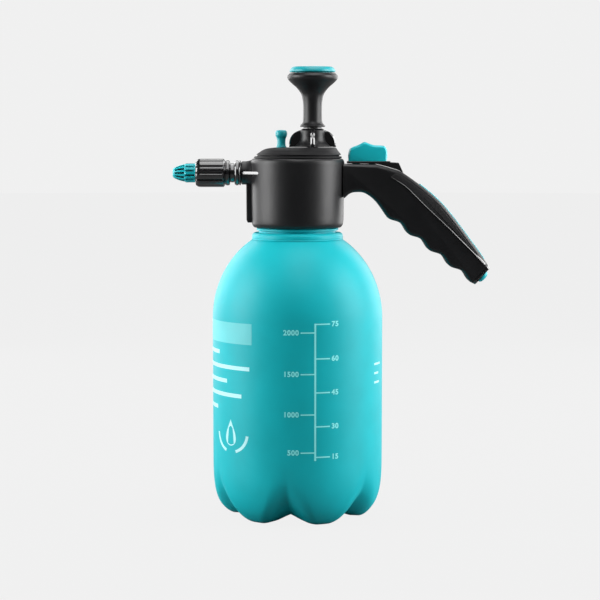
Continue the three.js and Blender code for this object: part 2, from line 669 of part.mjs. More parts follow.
function triggerBezel() {
  const seat = [0, 0.08, 0.16, 0.24, 0.32, 0.38].map((t) =>
    BACK.getPoint(t).addScaledVector(inward(BACK.getTangent(t)), -GAP),
  );
  const outline = [
    ...vectors([[38, 273], [38, 271.4]]),
    ...seat,
    ...vectors([[77.3, 271.8], [70.8, 272.2], [70.8, 273]]),
  ];
  return shaped(
    plate(outline, 9.5, 0.5),
    [],
    [box(SLOT.front, SLOT.back, -SLOT.half, SLOT.half, 260, 280)],
  );
}
add("trigger_bezel", triggerBezel(), BLACK);

// ---- Nozzle ---------------------------------------------------------------------------------------
function onNozzleAxis(name, geometry, material) {
  add(name, alongX(geometry), material).position.z = NOZZLE_Z;
}

const pipe = [
  [SPOUT.bore, SPOUT.front], [SPOUT.r, SPOUT.front], [SPOUT.r, -51.6], [7.25, -51.6],
  [7.25, -48.5], [SPOUT.r, -48.5], [SPOUT.r, -29.5], [NIPPLE.r, -29.5], [NIPPLE.r, SPOUT.back],
  [NIPPLE.bore, SPOUT.back], [NIPPLE.bore, -52], [SPOUT.bore, -52],
];
onNozzleAxis("nozzle_pipe", ringLathe(pipe, 20), BLACK);
onNozzleAxis("nozzle_collar", ring(SPOUT.r + GAP, 9.55, -48.2, -43.5), BLACK);

const sleeve = [
  [TIP.r + 0.4, SLEEVE.front], [8.3, SLEEVE.front], [10, SLEEVE.front + 1.6],
  [SLEEVE.r, SLEEVE.front + 4], [SLEEVE.r, -55.8],
  [9.6, -54.7], [9.6, -52.6], [8.9, SLEEVE.back], [SPOUT.r + GAP, SLEEVE.back],
  [SPOUT.r + GAP, -60.6], [TIP.r + 0.4, -60.6],
];
const sleeveColumns = 2 * SLEEVE.ribs;
const ribbedSleeve = ribbed(ringLathe(sleeve, sleeveColumns), sleeveColumns, SLEEVE.groove);
onNozzleAxis("nozzle_sleeve", ribbedSleeve, BLACK);

const swirlCore = [
  [0, -83], [1.2, -83], [3, -81], [3, SPOUT.front - GAP], [SPOUT.bore - GAP, SPOUT.front - GAP],
  [SPOUT.bore - GAP, -54], [0, -54],
];
onNozzleAxis("nozzle_swirl_core", lathe(swirlCore, 16), NATURAL);

const oringSection = Array.from({ length: 8 }, (_, i) => {
  const a = (2 * Math.PI * i) / 8;
  return [3.95 - 0.65 * Math.cos(a), -71 - 0.65 * Math.sin(a)];
});
onNozzleAxis("nozzle_oring", ringLathe(oringSection, 16), RUBBER);

const tip = [
  [0.6, TIP.front], [3.3, TIP.front], [4.6, -93.8], [5.7, -91], [6.4, -88.2], [6.7, TIP.step],
  [TIP.r, TIP.step + 0.2], [TIP.r, -79], [TIP.r - 0.1, TIP.skirt], [4.9, TIP.skirt],
  [4.9, -85.2], [1.5, -89], [0.6, -90.5],
];
onNozzleAxis("nozzle_tip", ringLathe(tip, 24), CYAN);

// The object's origin is in the middle of its length, under it.
sprayer.position.x = -(TIP.front + GRIP_END.top.x) / 2;
const model = new THREE.Group();
model.add(sprayer);
export default model;
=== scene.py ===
"""The looks of a hand-pumped compression sprayer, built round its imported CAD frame.

Pieces are made in millimetres and turned into metres as they become meshes. Their places come from
the boxes of the CAD nodes that they stand for.
"""

import math

import bmesh
import bpy
from mathutils import Matrix, Vector

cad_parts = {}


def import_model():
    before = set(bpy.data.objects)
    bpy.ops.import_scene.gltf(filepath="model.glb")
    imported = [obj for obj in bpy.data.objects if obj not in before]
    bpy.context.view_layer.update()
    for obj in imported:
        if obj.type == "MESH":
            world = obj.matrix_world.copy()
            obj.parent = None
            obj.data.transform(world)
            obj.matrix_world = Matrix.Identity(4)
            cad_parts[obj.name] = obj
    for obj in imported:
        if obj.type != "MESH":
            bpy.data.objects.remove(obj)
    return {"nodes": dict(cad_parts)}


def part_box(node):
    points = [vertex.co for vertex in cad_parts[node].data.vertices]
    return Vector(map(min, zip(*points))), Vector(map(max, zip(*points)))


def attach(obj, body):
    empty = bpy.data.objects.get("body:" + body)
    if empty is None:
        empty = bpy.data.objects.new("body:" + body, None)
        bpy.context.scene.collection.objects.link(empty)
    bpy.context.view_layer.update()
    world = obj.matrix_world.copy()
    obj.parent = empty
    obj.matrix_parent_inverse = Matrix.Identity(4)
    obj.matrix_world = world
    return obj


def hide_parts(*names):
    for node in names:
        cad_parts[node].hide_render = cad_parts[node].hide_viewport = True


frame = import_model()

MM = 0.001
TURN = 2 * math.pi
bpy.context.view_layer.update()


class Place:
    """A CAD node's box at rest, in millimetres."""

    def __init__(self, node):
        low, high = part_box(node)
        self.x0, self.y0, self.z0 = (c / MM for c in low)
        self.x1, self.y1, self.z1 = (c / MM for c in high)
        self.x = (self.x0 + self.x1) / 2
        self.z = (self.z0 + self.z1) / 2
        self.half_x = (self.x1 - self.x0) / 2
        self.half_y = (self.y1 - self.y0) / 2


at = {node: Place(node) for node in frame["nodes"]}
AXIS_X = at["neck_gasket"].x
PUMP_X = at["pump_rod"].x
NOZZLE_Z = at["nozzle_sleeve"].z
BOTTLE_R = at["bottle"].half_y - 0.1  # the print on the bottle takes up the rest

# ---- Mesh making ----------------------------------------------------------------------------------


def mesh_object(name, vertices, faces, sharp=32):
    """A smooth-shaded mesh object from millimetres, with edges sharper than the angle left hard."""
    mesh = bpy.data.meshes.new(name)
    mesh.from_pydata([Vector(v) * MM for v in vertices], [], faces)
    work = bmesh.new()
    work.from_mesh(mesh)
    bmesh.ops.recalc_face_normals(work, faces=work.faces)
    work.to_mesh(mesh)
    work.free()
    obj = bpy.data.objects.new(name, mesh)
    bpy.context.scene.collection.objects.link(obj)
    shade(obj, sharp)
    return obj


def shade(obj, sharp=32):
    """Smooth shading, but for edges sharper than the angle."""
    obj.data.polygons.foreach_set("use_smooth", [True] * len(obj.data.polygons))
    obj.data.set_sharp_from_angle(angle=math.radians(sharp))


def skin(name, rings, loop=False, capped=False, sharp=32):
    """Faces between rings of points. A ring of one point closes to a tip, loop joins the last ring to
    the first, and capped closes the two end rings."""
    vertices, starts = [], []
    for ring in rings:
        starts.append(len(vertices))
        vertices.extend(ring)
    faces = []
    pairs = list(zip(range(len(rings)), range(1, len(rings))))
    if loop:
        pairs.append((len(rings) - 1, 0))
    for a, b in pairs:
        count = max(len(rings[a]), len(rings[b]))
        for i in range(count):
            j = (i + 1) % count
            if len(rings[a]) == 1:
                faces.append((starts[a], starts[b] + j, starts[b] + i))
            elif len(rings[b]) == 1:
                faces.append((starts[a] + i, starts[a] + j, starts[b]))
            else:
                faces.append((starts[a] + i, starts[a] + j, starts[b] + j, starts[b] + i))
    if capped:
        faces.append(tuple(range(starts[0], starts[0] + len(rings[0]))))
        faces.append(tuple(range(starts[-1], starts[-1] + len(rings[-1]))))
    return mesh_object(name, vertices, faces, sharp)


def rounded(points, size=0.35, steps=4, closed=False):
    """A profile with its corners rounded. A corner is (r, h) or (r, h, its own size of rounding)."""
    profile = []
    last = len(points) - 1
    for i, corner in enumerate(points):
        here = Vector(corner[:2])
        reach = corner[2] if len(corner) > 2 else size
        if (not closed and i in (0, last)) or reach == 0:
            profile.append(tuple(here))
            continue
        before = Vector(points[i - 1][:2]) - here
        after = Vector(points[(i + 1) % len(points)][:2]) - here
        start = here + before.normalized() * min(reach, before.length * 0.45)
        end = here + after.normalized() * min(reach, after.length * 0.45)
        for k in range(steps + 1):
            t = k / steps
            profile.append(tuple(start * (1 - t) ** 2 + here * 2 * t * (1 - t) + end * t * t))
    return profile


def spline(points, per_span=6):
    """A Catmull-Rom curve through points of any number of coordinates."""
    points = [Vector(p) for p in points]
    ends = [2 * points[0] - points[1], *points, 2 * points[-1] - points[-2]]
    curve = []
    for i in range(1, len(ends) - 2):
        a, b, c, d = ends[i - 1 : i + 3]
        for k in range(per_span):
            t = k / per_span
            curve.append(
                0.5 * (2 * b + (c - a) * t + (2 * a - 5 * b + 4 * c - d) * t * t
                       + (3 * b - a - 3 * c + d) * t**3)
            )
    curve.append(points[-1])
    return curve


def turned(name, profile, x=AXIS_X, columns=96, shape=None, along_x=False, z=0, closed=False):
    """A profile of (radius, height) turned about an upright axis, or about a level one along X.
    shape(angle, radius, height) may change the radius."""
    rings = []
    for r, h in profile:
        count = 1 if r < 1e-6 else columns
        ring = []
        for i in range(count):
            angle = TURN * i / columns
            reach = shape(angle, r, h) if shape and count > 1 else r
            across, up = reach * math.sin(angle), reach * math.cos(angle)
            ring.append((h, across, z + up) if along_x else (x + across, -up, h))
        rings.append(ring)
    return skin(name, rings, loop=closed)


def inward(points, i, closed=True):
    """The unit normal at a point of an outline that runs clockwise, pointing inside it."""
    before = points[i - 1] if closed or i else points[i]
    after = points[(i + 1) % len(points)] if closed or i < len(points) - 1 else points[i]
    run = (Vector(after) - Vector(before)).normalized()
    return Vector((run.y, -run.x))


def slab(name, outline, half, edge=0.5, steps=5, y=0, crown=0.0):
    """An outline of (x, z), clockwise, made as thick as half to either side of y, with its edges
    rounded. crown lifts the outline's points in the middle of the thickness."""
    layers = []
    for k in range(steps + 1):
        a = math.pi / 2 * k / steps
        layers.append((half - edge + edge * math.cos(a), edge * (1 - math.sin(a))))
    across = [(-w, d) for w, d in layers] + [(w, d) for w, d in reversed(layers)]
    if crown:
        middle = [(-(half - edge) * t, -crown * (1 - t * t)) for t in (0.66, 0.33, 0, -0.33, -0.66)]
        across = across[: steps + 1] + middle + across[steps + 1 :]
    rings = []
    for w, d in across:
        ring = []
        for i, point in enumerate(outline):
            moved = Vector(point) + inward(outline, i) * d
            ring.append((moved.x, y + w, moved.y))
        rings.append(ring)
    return skin(name, rings, capped=True)


def block(name, low, high):
    """A box given by two corners, for cutting with."""
    (x0, y0, z0), (x1, y1, z1) = low, high
    rings = [[(x0, y0, z), (x1, y0, z), (x1, y1, z), (x0, y1, z)] for z in (z0, z1)]
    return skin(name, rings, capped=True)


def peg(name, r, low, high, columns=48):
    """A round bar between two points, for cutting with or joining on."""
    low, high = Vector(low), Vector(high)
    turn = (high - low).to_track_quat("Z", "Y")
    rings = []
    for end in (low, high):
        ring = []
        for i in range(columns):
            a = TURN * i / columns
            ring.append(tuple(end + turn @ Vector((r * math.cos(a), r * math.sin(a), 0))))
        rings.append(ring)
    return skin(name, rings, capped=True)


def settle(obj):
    """Puts what the modifiers make into the object's own mesh."""
    depsgraph = bpy.context.evaluated_depsgraph_get()
    made = bpy.data.meshes.new_from_object(obj.evaluated_get(depsgraph))
    obj.modifiers.clear()
    old, obj.data = obj.data, made
    bpy.data.meshes.remove(old)


def combine(obj, others, operation):
    """Joins or cuts obj with others, and deletes them. It works in millimetres, because the solver
    merges points that lie closer than its own small distance."""
    obj.data.transform(Matrix.Scale(1 / MM, 4))
    for other in others:
        other.data.transform(Matrix.Scale(1 / MM, 4))
        modifier = obj.modifiers.new("combine", "BOOLEAN")
        modifier.object = other
        modifier.operation = operation
        modifier.solver = "MANIFOLD"
        settle(obj)
        bpy.data.objects.remove(other)
    obj.data.transform(Matrix.Scale(MM, 4))
    shade(obj)
    return obj


def join(obj, *others):
    return combine(obj, others, "UNION")


def cut(obj, *others):
    return combine(obj, others, "DIFFERENCE")


def soften(obj, width, segments):
    """Rounds the edges that are sharper than 40 degrees."""
    modifier = obj.modifiers.new("soften", "BEVEL")
    modifier.width = width * MM
    modifier.segments = segments
    modifier.limit_method = "ANGLE"
    modifier.angle_limit = math.radians(40)
    settle(obj)
    shade(obj)
    return obj


def put(obj, body, slot, *nodes, material=None):
    """The piece rides on a body, stands for CAD nodes, and wears the material when one is given. The slot
    is not used.
    """
    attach(obj, body)
    if nodes:
        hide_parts(*nodes)
    if material:
        obj.data.materials.clear()
        obj.data.materials.append(material)
    return obj


def two_tone(obj, first, second, is_second):
    """Two materials on one piece: the second where is_second(x, y, z) of a face's centre is true."""
    obj.data.materials.clear()
    for material in (first, second):
        obj.data.materials.append(material)
    for face in obj.data.polygons:
        face.material_index = 1 if is_second(*(face.center / MM)) else 0
    return obj


# ---- Materials ------------------------------------------------------------------------------------


def plastic(name, color, roughness=0.45, grain=0.12, grain_size=0.5, mottle=0.06, wear=0.0, coat=0.0,
            gloss_level=0.5):
    """A moulded plastic: a fine grain in its surface, a little variation in its colour and its
    roughness, and edges that use has made paler. Sizes are in millimetres."""
    made = bpy.data.materials.new(name)
    made.use_nodes = True
    nodes, links = made.node_tree.nodes, made.node_tree.links
    shader = nodes["Principled BSDF"]
    shader.inputs["Coat Weight"].default_value = coat
    shader.inputs["Specular IOR Level"].default_value = gloss_level
    shader.inputs["Coat Roughness"].default_value = 0.12
    place = nodes.new("ShaderNodeTexCoord")

    def noise(size, detail):
        made_noise = nodes.new("ShaderNodeTexNoise")
        made_noise.inputs["Scale"].default_value = 1 / (size * MM)
        made_noise.inputs["Detail"].default_value = detail
        links.new(place.outputs["Object"], made_noise.inputs["Vector"])
        return made_noise.outputs["Fac"]

    blotches = noise(28, 3)
    tint = nodes.new("ShaderNodeValToRGB")
    tint.color_ramp.elements[0].position = 0.3
    tint.color_ramp.elements[1].position = 0.7
    tint.color_ramp.elements[0].color = (*(c * (1 - mottle) for c in color), 1)
    tint.color_ramp.elements[1].color = (*(c * (1 + mottle) for c in color), 1)
    links.new(blotches, tint.inputs["Fac"])
    colour = tint.outputs["Color"]
    if wear:
        shape = nodes.new("ShaderNodeNewGeometry")
        edges = nodes.new("ShaderNodeMapRange")
        edges.inputs["From Min"].default_value = 0.52
        edges.inputs["From Max"].default_value = 0.6
        edges.inputs["To Max"].default_value = wear
        links.new(shape.outputs["Pointiness"], edges.inputs["Value"])
        paler = nodes.new("ShaderNodeMix")
        paler.data_type = "RGBA"
        paler.inputs[7].default_value = (*(min(1, c * 2.2 + 0.04) for c in color), 1)
        links.new(edges.outputs["Result"], paler.inputs[0])
        links.new(colour, paler.inputs[6])
        colour = paler.outputs[2]
    links.new(colour, shader.inputs["Base Color"])

    gloss = nodes.new("ShaderNodeMapRange")
    gloss.inputs["To Min"].default_value = roughness - 0.05
    gloss.inputs["To Max"].default_value = roughness + 0.05
    links.new(noise(9, 4), gloss.inputs["Value"])
    links.new(gloss.outputs["Result"], shader.inputs["Roughness"])

    if grain:
        bump = nodes.new("ShaderNodeBump")
        bump.inputs["Strength"].default_value = grain
        bump.inputs["Distance"].default_value = 0.1 * MM
        links.new(noise(grain_size, 2), bump.inputs["Height"])
        links.new(bump.outputs["Normal"], shader.inputs["Normal"])
    return made


TEAL = plastic("bottle_teal", (0.004, 0.5, 0.565), 0.45, grain=0.1, grain_size=0.9, mottle=0.05,
               gloss_level=0.25)
BLACK = plastic("charcoal_plastic", (0.0055, 0.0055, 0.0065), 0.42, grain=0.3, grain_size=0.35,
                wear=0.25)
DULL_BLACK = plastic("dull_charcoal_plastic", (0.006, 0.006, 0.007), 0.55, grain=0.3, grain_size=0.35,
                     wear=0.25, gloss_level=0.2)
GRIP_BLACK = plastic("grip_plastic", (0.005, 0.005, 0.006), 0.38, grain=0.25, grain_size=0.35,
                     wear=0.2)
GRAINED = plastic("grained_plastic", (0.013, 0.013, 0.014), 0.55, grain=0.8, grain_size=0.7)
GLOSS_BLACK = plastic("gloss_black_plastic", (0.005, 0.005, 0.006), 0.2, grain=0.05, coat=1,
                      gloss_level=1)
CYAN = plastic("cyan_plastic", (0.006, 0.53, 0.6), 0.34, grain=0.12, grain_size=0.6, wear=0.3)
# A darker copy of the cyan plastic: painted shade for the knob cap and the relief knob.
SHADED_CYAN = plastic("cyan_plastic_painted_shade", (0.008, 0.38, 0.43), 0.36, grain=0.12, grain_size=0.6,
                    wear=0.3)
# A near-black copy of the cyan plastic, laid on the nozzle tip's slots as painted shade.
PAINTED_SLOT_SHADE = plastic("painted_shade_in_slots", (0.001, 0.03, 0.034), 0.5, grain=0.12, grain_size=0.6)
NATURAL = plastic("natural_plastic", (0.72, 0.74, 0.71), 0.4, grain=0.1, mottle=0.03)
HOSE = plastic("soft_hose", (0.62, 0.68, 0.68), 0.3, grain=0.05, mottle=0.04)
RUBBER = plastic("rubber", (0.014, 0.014, 0.014), 0.72, grain=0.4, grain_size=0.4)
PANEL_INK = plastic("panel_ink", (0.12, 0.66, 0.7), 0.5, grain=0.2, grain_size=0.3, mottle=0.05)
INK = plastic("print_ink", (0.5, 0.97, 1.0), 0.5, grain=0.2, grain_size=0.3, mottle=0.05)
SCALE_INK = plastic("scale_ink", (0.3, 1.0, 1.0), 0.5, grain=0.2, grain_size=0.3, mottle=0.04)


def brushed_steel():
    made = plastic("steel", (0.55, 0.55, 0.56), 0.3, grain=0.15, grain_size=0.2, mottle=0.04)
    made.node_tree.nodes["Principled BSDF"].inputs["Metallic"].default_value = 1
    return made


STEEL = brushed_steel()

# ---- Bottle ---------------------------------------------------------------------------------------
NECK_R = 29.8
MOUTH_Z = at["bottle"].z1
FEET = 6
FOOT_PHASE = math.radians(22.6)  # one foot's direction, from -Y towards +X
WALL = 1.8
BASE_TOP = 60  # the wall is round from here up
SHOULDER_Z = 153
SHOULDER_RISE = 71
FOOT_PROFILE = [
    (0, 9), (16, 8.4), (30, 5.2), (38, 1.6), (43, 0), (49, 0), (54.5, 3), (59.5, 9), (62.6, 16),
    (64.4, 25), (65.2, 37), (BOTTLE_R, BASE_TOP),
]
VALLEY_PROFILE = [
    (0, 9), (16, 8.2), (29, 6.8), (36, 6.2), (41, 6.8), (45.5, 9.5), (50.8, 13.2), (56.2, 18.2),
    (61, 24.6), (64, 33), (65.2, 44), (BOTTLE_R, BASE_TOP),
]
THREAD = {"foot": 226, "top": 239, "pitch": 4.5, "height": 1.3}


def thread(angle, h):
    """How far a thread stands out at this height and angle, from 0 to 1."""
    run = (h - THREAD["foot"]) / THREAD["pitch"] - angle / TURN
    ridge = max(0, 1.6 * math.cos(TURN * run) - 0.5)
    ends = min(h - THREAD["foot"], THREAD["top"] - h) / 1.5
    return min(1, ridge) * max(0, min(1, ends))


def shoulder(wall, steps=26):
    """The elliptical shoulder, up to the bead under the neck."""
    rises = [0.85 * k / steps for k in range(steps + 1)]
    return [(BOTTLE_R * math.sqrt(1 - s * s) - wall, SHOULDER_Z + SHOULDER_RISE * s) for s in rises]


def bottle():
    bead = [
        (35.3, 213.3), (34.7, 214, 0.5), (35, 214.6, 0.3), (34.9, 216.9, 0.9), (33.8, 217.9, 0.5),
        (33, 218.5, 0.3), (NECK_R - 0.1, 218.5, 0.1), (NECK_R - 0.1, 220.1, 0.1),
        (NECK_R + 1.6, 220.2, 0.15), (NECK_R + 1.6, 221.8, 0.4), (NECK_R, 222.2, 0.2),
    ]
    neck = [(NECK_R, THREAD["foot"] + 0.4 * k) for k in range(-4, 35)]
    lip = [(NECK_R, MOUTH_Z, 0.8), (27.3, MOUTH_Z, 0.8), (27.3, 215, 2)]
    upper = rounded([*bead, *neck, *lip, (29, 213)], 0.3, 3)
    inner = shoulder(WALL)[::-1]
    rise = [(BOTTLE_R, BASE_TOP + (SHOULDER_Z - BASE_TOP) * k / 9) for k in range(1, 9)]

    def row(outline):
        """The whole section, from the middle of the base up outside and back down inside."""
        base = [(p.x, max(0, p.y)) for p in spline(outline, 5)]
        floor = [(r - WALL * 0.9 if r > 20 else r, h + WALL) for r, h in reversed(base)]
        return [*base, *rise, *shoulder(0), *upper, *inner, *floor]

    columns = 240
    rings = []
    for foot, valley in zip(row(FOOT_PROFILE), row(VALLEY_PROFILE)):
        count = 1 if foot[0] < 1e-6 else columns
        spread = 0.96 - 0.42 * min(1, foot[1] / 30)  # a valley narrows as it rises
        ring = []
        for i in range(count):
            turn = TURN * i / columns
            crest = min(1, abs(math.cos(FEET / 2 * turn)) / spread)
            mix = crest * crest * (3 - 2 * crest) * 0.3 + crest * 0.7
            r = valley[0] + (foot[0] - valley[0]) * mix
            h = valley[1] + (foot[1] - valley[1]) * mix
            angle = turn + FOOT_PHASE
            if abs(r - NECK_R) < 0.01:
                r += THREAD["height"] * thread(angle, h)
            ring.append((AXIS_X + r * math.sin(angle), -r * math.cos(angle), h))
        rings.append(ring)
    return skin("bottle_shell", rings, sharp=50)


put(bottle(), "bottle", "bottle_plastic", "bottle", material=TEAL)

# ---- Print on the bottle --------------------------------------------------------------------------
INK_INNER = BOTTLE_R - 0.04
INK_OUTER = at["bottle"].half_y - 0.04


def on_bottle(s, z, r):
    """The point of the wall that is s millimetres round from the front, at radius r."""
    angle = s / BOTTLE_R
    return (AXIS_X + r * math.sin(angle), -r * math.cos(angle), z)


def printed(name, outlines, ink=INK):
    """Flat outlines of (s, z) wrapped on the wall as thin closed pieces of ink."""
    vertices, faces = [], []
    for outline in outlines:
        start, count = len(vertices), len(outline)
        vertices.extend(on_bottle(s, z, INK_OUTER) for s, z in outline)
        vertices.extend(on_bottle(s, z, INK_INNER) for s, z in outline)
        faces.append(tuple(range(start, start + count)))
        faces.append(tuple(range(start + count, start + 2 * count))[::-1])
        for i in range(count):
            j = (i + 1) % count
            faces.append((start + i, start + j, start + count + j, start + count + i))
    piece = mesh_object(name, vertices, faces)
    return put(piece, "bottle", "bottle_plastic", material=ink)


def bar(s0, s1, z0, z1):
    """A rectangle of ink, in lengths short enough to follow the wall."""
    count = max(1, math.ceil(abs(s1 - s0) / 2))
    steps = [s0 + (s1 - s0) * k / count for k in range(count + 1)]
    return [[(a, z0), (b, z0), (b, z1), (a, z1)] for a, b in zip(steps, steps[1:])]


def numeral(text, s, z, size, right=False):
    """A number as flat outlines of (s, z), set from s leftwards or rightwards."""
    curve = bpy.data.curves.new("numeral", "FONT")
    curve.body = text
    curve.size = size
    curve.space_character = 1.12
    curve.offset = 0.2
    curve.align_x = "LEFT" if right else "RIGHT"
    curve.align_y = "CENTER"
    obj = bpy.data.objects.new("numeral", curve)
    bpy.context.scene.collection.objects.link(obj)
    depsgraph = bpy.context.evaluated_depsgraph_get()
    mesh = bpy.data.meshes.new_from_object(obj.evaluated_get(depsgraph))
    flat = [[(s + mesh.vertices[v].co.x, z + mesh.vertices[v].co.y) for v in face.vertices]
            for face in mesh.polygons]
    bpy.data.objects.remove(obj)
    return flat


SCALE_S = 13.3  # the scale's upright line
SCALE_LINE_HALF, TICK_HALF = 0.7, 0.5
NUMERAL_SIZE = 5.3
RIGHT_MARKS = [(153.4, "75"), (127.7, "60"), (102.4, "45"), (77.0, "30"), (54.1, "15")]
LEFT_MARKS = [(147.1, "2000"), (116.2, "1500"), (86.0, "1000"), (57.5, "500")]


def scale_marks():
    left, right = SCALE_S - SCALE_LINE_HALF, SCALE_S + SCALE_LINE_HALF
    lines = bar(left, right, 51.5, 154)
    for z, _ in RIGHT_MARKS:
        lines += bar(right, SCALE_S + 11.5, z - TICK_HALF, z + TICK_HALF)
    for z, _ in LEFT_MARKS:
        lines += bar(SCALE_S - 11, left, z - TICK_HALF, z + TICK_HALF)
    printed("scale_lines", lines, SCALE_INK)
    numbers = []
    for z, text in RIGHT_MARKS:
        numbers += numeral(text, SCALE_S + 12.8, z, NUMERAL_SIZE, right=True)
    for z, text in LEFT_MARKS:
        numbers += numeral(text, SCALE_S - 12.3, z, NUMERAL_SIZE)
    printed("scale_numbers", numbers, SCALE_INK)


def plain_label():
    """A blank panel with plain bars under it, where a label would be printed."""
    left, right = math.radians(-92) * BOTTLE_R, math.radians(-31.5) * BOTTLE_R
    printed("label_panel", bar(left, right, 137, 152.8), PANEL_INK)
    bars = [(129.4, 0.45), (118.8, 0.97), (108.2, 0.62), (97.8, 0.86), (87.3, 0.4)]  # z, share of width
    lines = []
    for z, share in bars:
        lines += bar(left, left + (right - left) * share, z - 1.5, z + 1.5)
    printed("label_bars", lines)


def drop_icon(s, z, width, height):
    """A water drop with a stroke to either side of it."""
    drop = []
    for k in range(40):
        a = TURN * k / 40
        pull = math.sin(a / 2) ** 1.5
        drop.append((s + width / 2 * math.sin(a) * pull, z + height / 2 * math.cos(a)))
    shapes = [drop]
    for side in (-1, 1):
        for k in range(12):
            a, b = (math.radians(95 + 5.5 * m) for m in (k, k + 1))
            stroke = [(0.95, a), (0.95, b), (1.1, b), (1.1, a)]
            shapes.append([
                (s + side * width * r * math.sin(t), z + height * 0.72 * r * math.cos(t))
                for r, t in stroke
            ])
    return shapes


scale_marks()
plain_label()
printed("drop_icon", drop_icon(-57.5, 69.5, 17, 20))
printed("edge_strokes", bar(72, 84, 119, 120.6) + bar(72, 80, 112, 113.6) + bar(72, 82, 105, 106.6))

# ---- Head -----------------------------------------------------------------------------------------
HEAD_R = 36
HEAD_FOOT = at["head_body"].z0
HEAD_RIM = 275
DECK, DECK_TOP = 244.6, 247.2
COVER_TOP = at["head_cover"].z1
BARREL_R = at["pump_barrel"].half_x - 2.5
RELIEF_X = at["relief_valve_stem"].x
DUCT_HALF, DUCT_FOOT, DUCT_TOP, DUCT_WALL = 9.6, 252.4, 267.4, 1.4
THREAD_BORE = 31.9  # the head's radius inside, where its thread is
CUP_R = 32.9  # its radius inside, above the deck
BOSS_R = 8.9
RELIEF_TUBE_TOP = 258
COVER_LEAN = 6.2


def x_of(x):
    """A distance from the bottle's axis as an x in the frame."""
    return AXIS_X + x


def placed(points):
    """Points of (x, z) whose x is counted from the bottle's axis, placed in the frame."""
    return [(x_of(x), z) for x, z in points]


def clockwise(points):
    """A straight-sided outline, placed in the frame and run clockwise."""
    outline = placed(points)
    area = sum(a[0] * b[1] - b[0] * a[1] for a, b in zip(outline, outline[1:] + outline[:1]))
    return outline if area < 0 else outline[::-1]


def relief_column(name, r, top):
    """A solid column from just inside the deck, where the relief valve's tube stands."""
    return turned(name, [(0, DECK_TOP - 1), (r, DECK_TOP - 1), (r, top), (0, top)], x=RELIEF_X, columns=48)


def head_body():
    outer = rounded(
        [
            (THREAD_BORE, DECK), (THREAD_BORE, HEAD_FOOT + 1.2), (32.8, HEAD_FOOT, 0.5),
            (33.6, HEAD_FOOT + 0.4, 0.6), (35, HEAD_FOOT + 2.4, 1.4), (35.4, HEAD_FOOT + 6, 2),
            (HEAD_R, HEAD_RIM - 3, 1.6), (35.3, HEAD_RIM - 0.9, 0.7), (33.9, HEAD_RIM, 0.6),
            (CUP_R, HEAD_RIM, 0.3), (CUP_R, DECK_TOP, 0.5), (0, DECK_TOP),
        ],
        0.4,
        5,
    )
    bore = [(THREAD_BORE, DECK - 0.5 * k) for k in range(1, 40)]
    start = [(0, DECK), *[(r, h) for r, h in bore if h > HEAD_FOOT + 1.4]]

    def groove(angle, r, h):
        on_bore = abs(r - THREAD_BORE) < 0.01 and h < DECK - 1
        return r + 0.7 * thread(angle, h) if on_bore else r

    body = turned("head_shell", [*start, *outer[1:]], columns=144, shape=groove)
    boss = turned(
        "boss",
        rounded([(0, x_of(-43.2)), (8.1, x_of(-43.2), 0.1), (BOSS_R, x_of(-42.4), 0.1),
                 (BOSS_R, x_of(-38.5), 2), (10.4, x_of(-34)), (0, x_of(-34))], 0.5, 5),
        columns=64, along_x=True, z=NOZZLE_Z,
    )
    front_rib = slab(
        "rib",
        clockwise([(-34, 258), (-34, 226), (-38.2, 226), (-39.2, 228), (-39.4, 258)]),
        3.5, 0.8,
    )
    web_half = 1.2
    web_outline = clockwise([(-42, -9.6), (-42, 9.6), (-29.6, 20.8), (-29.6, -20.8)])
    web = slab("web", web_outline, web_half, 0.8, 1)
    web.data.transform(Matrix.Translation((0, 0, NOZZLE_Z * MM)) @ Matrix.Rotation(math.pi / 2, 4, "X"))
    duct = block("duct", (x_of(33), -DUCT_HALF, DUCT_FOOT), (x_of(40), DUCT_HALF, DUCT_TOP))
    tube = relief_column("tube", 6, RELIEF_TUBE_TOP)
    join(body, boss, front_rib, duct, tube, web)
    clear = 0.05  # keeps the cutter's faces off the shell's own
    inside_foot, inside_r = DECK_TOP + clear, CUP_R - clear
    inside = turned(
        "inside",
        [(0, inside_foot), (inside_r, inside_foot), (inside_r, HEAD_RIM - 1), (0, HEAD_RIM - 1)],
        columns=144,
    )
    keep = relief_column("keep", 6.2, RELIEF_TUBE_TOP + 0.5)
    cut(inside, keep)
    cut(
        body,
        inside,
        peg("spout", 6.3, (x_of(-46), 0, NOZZLE_Z), (x_of(-28), 0, NOZZLE_Z)),
        block("hole", (x_of(28), DUCT_WALL - DUCT_HALF, DUCT_FOOT + DUCT_WALL),
              (x_of(41), DUCT_HALF - DUCT_WALL, DUCT_TOP - DUCT_WALL)),
        peg("barrel", BARREL_R + 0.3, (PUMP_X, 0, DECK - 1), (PUMP_X, 0, DECK_TOP + 1), 96),
        peg("bore", 4.6, (RELIEF_X, 0, DECK_TOP), (RELIEF_X, 0, RELIEF_TUBE_TOP + 1)),
        peg("vent", 2, (RELIEF_X, 0, DECK - 1), (RELIEF_X, 0, DECK_TOP + 1)),
    )

    def on_web(x, y, z):
        past_shell = x < x_of(-29) and math.hypot(x - AXIS_X, y) > HEAD_R + 0.1
        return past_shell and abs(z - NOZZLE_Z) < web_half and abs(y) > BOSS_R

    return two_tone(body, BLACK, GLOSS_BLACK, on_web)


put(head_body(), "head", "black_plastic", "head_body")


def lean(h):
    """How far the cover's rings lie over towards the pump at a height."""
    rise = min(1, max(0, (h - HEAD_RIM) / (COVER_TOP - HEAD_RIM)))
    return COVER_LEAN * (0.4 * rise + 0.6 * rise**12)


